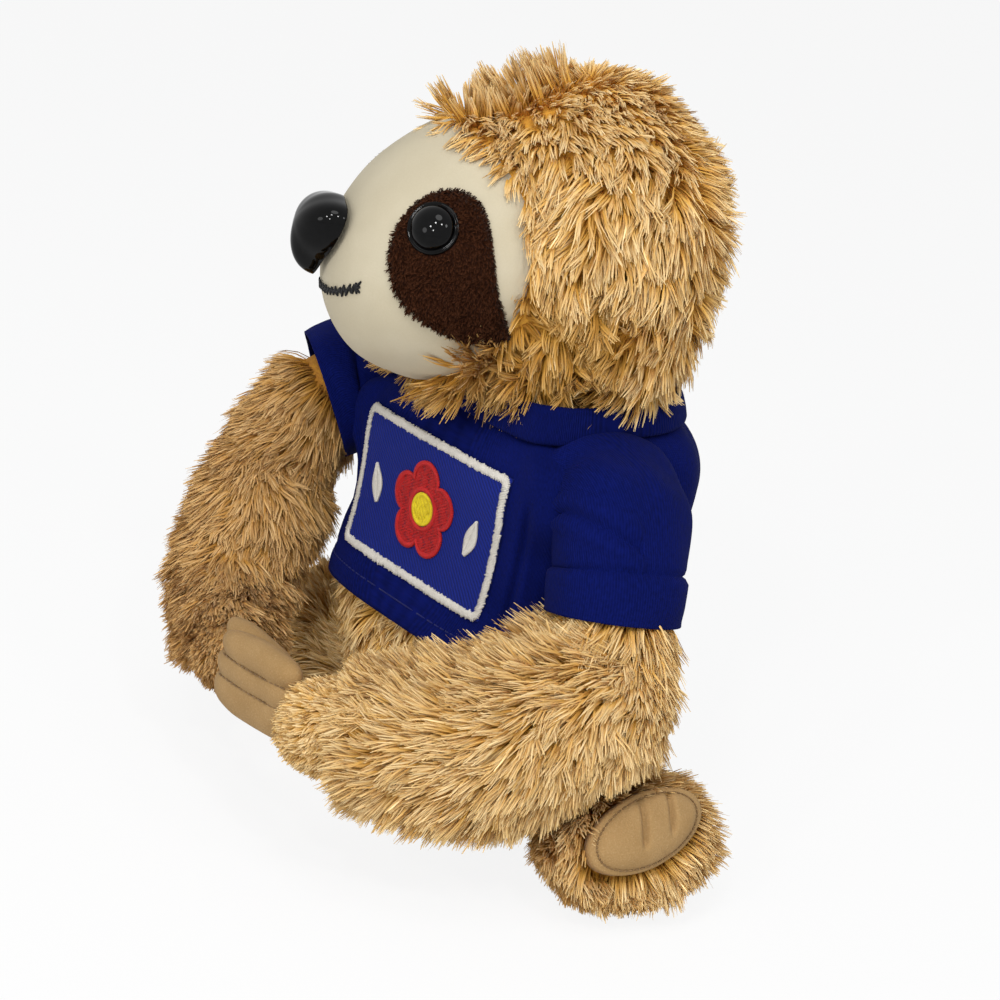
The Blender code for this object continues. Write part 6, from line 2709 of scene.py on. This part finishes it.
@dataclass
class Leg:
    """One leg: furry cover, and a suede sole with toe seams and a stitched rim."""

    side: Side
    hip: Triple = (0.029, 0.006, 0.014)
    hip_radius: float = 0.012
    foot: Triple = (0.060, 0.0015, 0.0157)
    half_height: float = 0.0162
    half_width: float = 0.0210
    waist: float = 0.0012
    sole_size: Triple = (0.0154, 0.0084, 0.0048)
    sole_reach: float = 0.0143
    sole_shift: float = 0.0020
    sole_roll_deg: float = 20.0
    facing: Triple = (0.85, -0.20, 0.45)
    pile_depth: float = 0.0038

    @property
    def way(self) -> Vector:
        """The way that the sole faces."""
        return Vector((self.side.value * self.facing[0], *self.facing[1:])).normalized()

    @property
    def centre(self) -> Vector:
        """The middle of the foot."""
        return Vector((self.side.value * self.foot[0], *self.foot[1:]))

    @property
    def sole_frame(self) -> Matrix:
        """The sole's frame: Z out of the sole, X along it."""
        roll = Matrix.Rotation(math.radians(self.side.value * self.sole_roll_deg), 4, "Z")
        return look_along(
            self.centre + self.way * self.sole_reach, self.way
        ) @ roll @ Matrix.Translation((0, self.sole_shift, 0))

    def build(self) -> None:
        """Build every piece of the leg."""
        label = self.side.label
        body = Body.LEFT_FOOT if self.side is Side.LEFT else Body.RIGHT_FOOT
        hip = Vector((self.side.value * self.hip[0], *self.hip[1:]))
        middle = (self.hip_radius + self.half_height) / 2 - self.waist
        sizes = ((self.hip_radius,) * 2, (middle,) * 2, (self.half_height, self.half_width))
        shape = LimbShape((hip, hip.lerp(self.centre, 0.5), self.centre), sizes)
        cloth = padded_form(label + "_leg_cloth", shape.form(-self.pile_depth, 40, 36), FUR.backing())
        declare(cloth, body, "fur", label + "_leg")
        coat = FurCoat(
            label + "_leg_fur", 90 + self.side.value, 4000, self.comb, keep=self.off_sole, strands=7,
            length=0.0090, root_lift_deg=50, tip_lift_deg=8, length_rule=self.strand_length,
        )
        declare(coat.grow(cloth, FUR.strands()), body, "fur")
        self.build_sole(body)

    def off_sole(self, spots: Array) -> Array:
        """Keep the pile off the sole.

        Args:
            spots: Places on the cloth.

        Returns:
            1 where the pile stays and 0 elsewhere.
        """
        frame_back = np.array(self.sole_frame.inverted())
        local = spots @ frame_back[:3, :3].T + frame_back[:3, 3]
        under = (local[:, 0] / (self.sole_size[0] - 0.001)) ** 2 + (
            local[:, 1] / (self.sole_size[1] - 0.001)
        ) ** 2 < 1
        return 1.0 - (under & (local[:, 2] > -0.006)).astype(float)

    def strand_length(self, spots: Array) -> Array:
        """Shorten the pile toward the seat."""
        return 0.55 + 0.5 * ease_in((spots[:, 2] - 0.002) / 0.016)

    def comb(self, spots: Array, normals: Array) -> Array:
        """Comb the pile along the leg and out round the sole.

        Args:
            spots: Places on the cloth.
            normals: The cloth's outward directions.

        Returns:
            The directions.
        """
        centre = np.array(self.centre + self.way * self.sole_reach)
        away = spots - centre[None, :]
        way = np.array(self.way)
        ring = away - (away @ way)[:, None] * way[None, :]
        ring /= np.linalg.norm(ring, axis=1, keepdims=True) + 1e-9
        return way[None, :] * 0.9 + ring * 0.55 + np.array([0, 0, -0.45])[None, :]

    def sole_height(self, x: float, y: float) -> float:
        """Give the puff of the sole at a place, with its toe seams.

        Args:
            x: The place along the sole.
            y: The place across it.

        Returns:
            The height.
        """
        long_half, short_half, thick = self.sole_size
        reach = math.hypot(x / long_half, y / short_half)
        rim = 0.86
        puff = thick * (0.42 + 0.58 * max(1 - (reach / rim) ** 2.4, 0) ** 0.55) if reach < rim else thick * (
            0.30 + 0.16 * math.cos((reach - rim) / (1 - rim) * math.pi / 2)
        )
        lean = self.side.value
        for start in (-0.10, 0.40):
            seam_x = long_half * (start + 0.22 * (y / short_half)) * lean
            depth = smooth_step((y / short_half + 0.45) / 0.35)
            puff -= 0.0016 * depth * math.exp(-(((x - seam_x) / 0.0008) ** 2)) * (reach < rim)
        return puff + 0.00018 * noise.noise(Vector((x, y, 0)) * 260)

    def build_sole(self, body: Body) -> None:
        """Build the sole pad with its seams, and the stitches along its rim.

        Args:
            body: The foot's body.
        """
        label = self.side.label
        long_half, short_half, _ = self.sole_size
        frame_out = self.sole_frame

        def place(turn_share: float, reach: float) -> Vector:
            """Give a place on the top of the pad.

            Args:
                turn_share: The share of a whole turn.
                reach: The share from middle to rim.

            Returns:
                The point.
            """
            angle = turn_share * 2 * math.pi
            reach = max(reach, 0.003)
            x, y = reach * long_half * math.cos(angle), reach * short_half * math.sin(angle)
            return frame_out @ Vector((x, y, -0.001 if reach > 0.985 else self.sole_height(x, y)))

        piece = shown(label + "_sole_pad", woven(150, 60, place, merge=3e-5), SUEDE.build())
        for vertex in piece.data.vertices:
            vertex.co.z = max(vertex.co.z, FLOOR_CLEAR)
        thicken(piece, self.centre, 0.001)
        declare(piece, body, "suede", label + "_sole")

        def on_rim(share: float) -> tuple[Vector, Vector]:
            """Give a place on the rim's seam and its outward direction.

            Args:
                share: The share along the line, 0 to 1.

            Returns:
                The place and its outward direction.
            """
            angle = share * 2 * math.pi
            x, y = 0.88 * long_half * math.cos(angle), 0.88 * short_half * math.sin(angle)
            return frame_out @ Vector((x, y, self.sole_height(x, y) + 0.0001)), self.way

        needle = Needle()
        needle.sew_row(54, (0.12, 0.4, 0.65, 0.9), on_rim, 0.00042, 0.0003)
        declare(needle.finish(label + "_sole_stitches", TAN_THREAD.build()), body, "suede")


# Studio
@dataclass
class Studio:
    """The plain pale floor, soft lamps and the camera at the photograph's angle."""

    target: Triple = (0.0, 0.003, 0.077)
    distance: float = 0.6
    lens: float = 90.0
    right: Triple = (0.59619, 0.79342, 0.12265)
    up: Triple = (-0.34468, 0.11497, 0.93165)
    back: Triple = (0.72509, -0.59772, 0.34202)
    floor_half: float = 3.0
    floor_white: float = 0.88
    world_light: float = 0.40
    lamp_distance: float = 0.78

    def build(self) -> None:
        """Set the camera, floor, world and lamps."""
        scene = bpy.context.scene
        scene.view_settings.view_transform = "Standard"
        self.build_camera(scene)
        self.build_floor()
        self.build_world(scene)
        self.build_lamps()

    def build_camera(self, scene: bpy.types.Scene) -> None:
        """Put the camera where the photograph was taken from.

        Args:
            scene: The scene.
        """
        lens = bpy.data.cameras.new("camera")
        lens.lens = self.lens
        lens.sensor_width = 36
        lens.clip_start = 0.01
        camera = hang("camera", lens)
        turn = Matrix((self.right, self.up, self.back)).transposed().to_4x4()
        camera.matrix_world = Matrix.Translation(self.from_target(self.distance)) @ turn
        scene.camera = camera

    def from_target(self, back: float, across: float = 0.0, rise: float = 0.0) -> Vector:
        """Give a place away from the object's middle, by the camera's own directions."""
        spot = Vector(self.target) + Vector(self.back) * back
        return spot + Vector(self.right) * across + Vector(self.up) * rise

    @staticmethod
    def add_node(
        tree: bpy.types.NodeTree, kind: str, **inputs: float | tuple[float, ...]
    ) -> bpy.types.Node:
        """Add a node and set its inputs; a low line in a name stands for a space.

        Args:
            tree: The node tree.
            kind: The node's type name.
            inputs: Values for its inputs.

        Returns:
            The new node.
        """
        made = tree.nodes.new(kind)
        for key, value in inputs.items():
            made.inputs[key.replace("_", " ")].default_value = value
        return made

    def white_to_view(
        self, tree: bpy.types.NodeTree, lit: bpy.types.Node, white: bpy.types.Node, share: float, output: str
    ) -> None:
        """Blend a lit surface with white for the camera's, mirror and glass rays.

        Args:
            tree: The node tree.
            lit: The node that lights the object.
            white: The node that is seen as white.
            share: How much of the white those rays see.
            output: The name of the tree's output node.
        """
        path = tree.nodes.new("ShaderNodeLightPath")
        seen = path.outputs["Is Camera Ray"]
        for ray in ("Is Glossy Ray", "Is Transmission Ray"):
            larger = tree.nodes.new("ShaderNodeMath")
            larger.operation = "MAXIMUM"
            tree.links.new(seen, larger.inputs[0])
            tree.links.new(path.outputs[ray], larger.inputs[1])
            seen = larger.outputs[0]
        part = tree.nodes.new("ShaderNodeMath")
        part.operation = "MULTIPLY"
        part.inputs[1].default_value = share
        tree.links.new(seen, part.inputs[0])
        blend = tree.nodes.new("ShaderNodeMixShader")
        for number, source in enumerate((part, lit, white)):
            tree.links.new(source.outputs[0], blend.inputs[number])
        tree.links.new(blend.outputs[0], tree.nodes[output].inputs["Surface"])

    def build_floor(self) -> None:
        """Build the floor, which looks white and keeps a soft shadow."""
        half = self.floor_half
        mesh = bpy.data.meshes.new("floor")
        mesh.from_pydata(
            [(-half, -half, 0), (half, -half, 0), (half, half, 0), (-half, half, 0)], [], [(0, 1, 2, 3)]
        )
        material = bpy.data.materials.new("floor")
        material.use_nodes = True
        tree = material.node_tree
        shader = tree.nodes["Principled BSDF"]
        shader.inputs["Base Color"].default_value = (0.86, 0.86, 0.86, 1)
        shader.inputs["Roughness"].default_value = 0.9
        shader.inputs["Specular IOR Level"].default_value = 0.1
        glow = self.add_node(tree, "ShaderNodeEmission", Color=WHITE, Strength=1.0)
        self.white_to_view(tree, shader, glow, self.floor_white, "Material Output")
        mesh.materials.append(material)
        hang("floor", mesh)

    def build_world(self, scene: bpy.types.Scene) -> None:
        """Give the world a soft even light that looks white to the camera.

        Args:
            scene: The scene.
        """
        scene.world = bpy.data.worlds.new("studio")
        scene.world.use_nodes = True
        tree = scene.world.node_tree
        soft = tree.nodes["Background"]
        soft.inputs["Color"].default_value = (0.96, 0.98, 1.0, 1)
        soft.inputs["Strength"].default_value = self.world_light
        white = self.add_node(tree, "ShaderNodeBackground", Color=WHITE, Strength=1.0)
        self.white_to_view(tree, soft, white, 1.0, "World Output")

    def build_lamps(self) -> None:
        """Hang the soft lamps round the object."""
        lamps = (
            ("front_high", (-0.10, 0.42), 0.078, 1.25),
            ("front_right", (0.22, 0.34), 0.078, 1.25),
            ("front_left", (-0.34, 0.26), 0.075, 1.10),
            ("front_low", (-0.20, 0.06), 0.060, 0.60),
            ("side_right", (0.62, 0.30), 0.20, 1.10),
            ("side_left", (-0.75, 0.10), 0.30, 1.00),
            ("high", (0.10, 0.85), 0.45, 2.60),
        )
        for name, (across, rise), size, power in lamps:
            light = bpy.data.lights.new(name, "AREA")
            light.shape = "DISK"
            light.size = size
            light.energy = power
            spot = self.from_target(self.lamp_distance, across, rise)
            hang(name, light).matrix_world = look_along(spot, spot - Vector(self.target))


def dress_inner_nodes() -> None:
    """Give the part's own hidden pieces their finishes."""
    finishes = {
        "bean_pouch": LINING, "hook_pad": HOOKS, "loop_pad": LOOPS,
        "left_eye_washer": WASHER, "right_eye_washer": WASHER, "nose_washer": WASHER,
    }
    for name, finish in finishes.items():
        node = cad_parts[name]
        node.data.materials.clear()
        node.data.materials.append(finish.build())


def main() -> None:
    """Build the studio and every sub-assembly in order."""
    logging.basicConfig(level=logging.INFO, format="%(message)s")
    Studio().build()
    torso = TorsoShape()
    Torso(torso).build()
    Head(HeadShape()).build()
    Shirt(torso).build()
    ChestPatch(torso).build()
    Arm(
        side=Side.LEFT, shoulder=Vector((0.043, 0.005, 0.093)), elbow=Vector((0.057, -0.007, 0.049)),
        wrist=Vector((0.024, -0.0563, 0.0385)), upper_bend=(0.5, Vector((0.0003, 0, 0))),
        lower_bend=(0.5, Vector((0.004, -0.0003, -0.005))), shoulder_flat=0.015, forearm_radius=0.0165,
        sleeve_end=0.52, finish=FUR, mitt_middle=(0.001, 0.040),
    ).build()
    # The far arm wears the darker copy of the fur, which is painted shade.
    Arm(
        side=Side.RIGHT, shoulder=Vector((-0.043, 0.005, 0.093)), elbow=Vector((-0.056, -0.025, 0.065)),
        wrist=Vector((-0.030, -0.0503, 0.033)), upper_bend=(0.45, Vector((-0.0025, -0.006, 0.010))),
        lower_bend=(0.45, Vector((-0.007, -0.0003, -0.007))), shoulder_flat=0.0125, forearm_radius=0.0155,
        sleeve_end=0.47, finish=FUR_PAINTED_SHADE, mitt_middle=(-0.011, 0.035), pile_depth=0.0056, strand=0.0088,
        parting_rise=0.0,
    ).build()
    for side in Side:
        Leg(side).build()
    dress_inner_nodes()


if __name__ == "__main__":
    main()
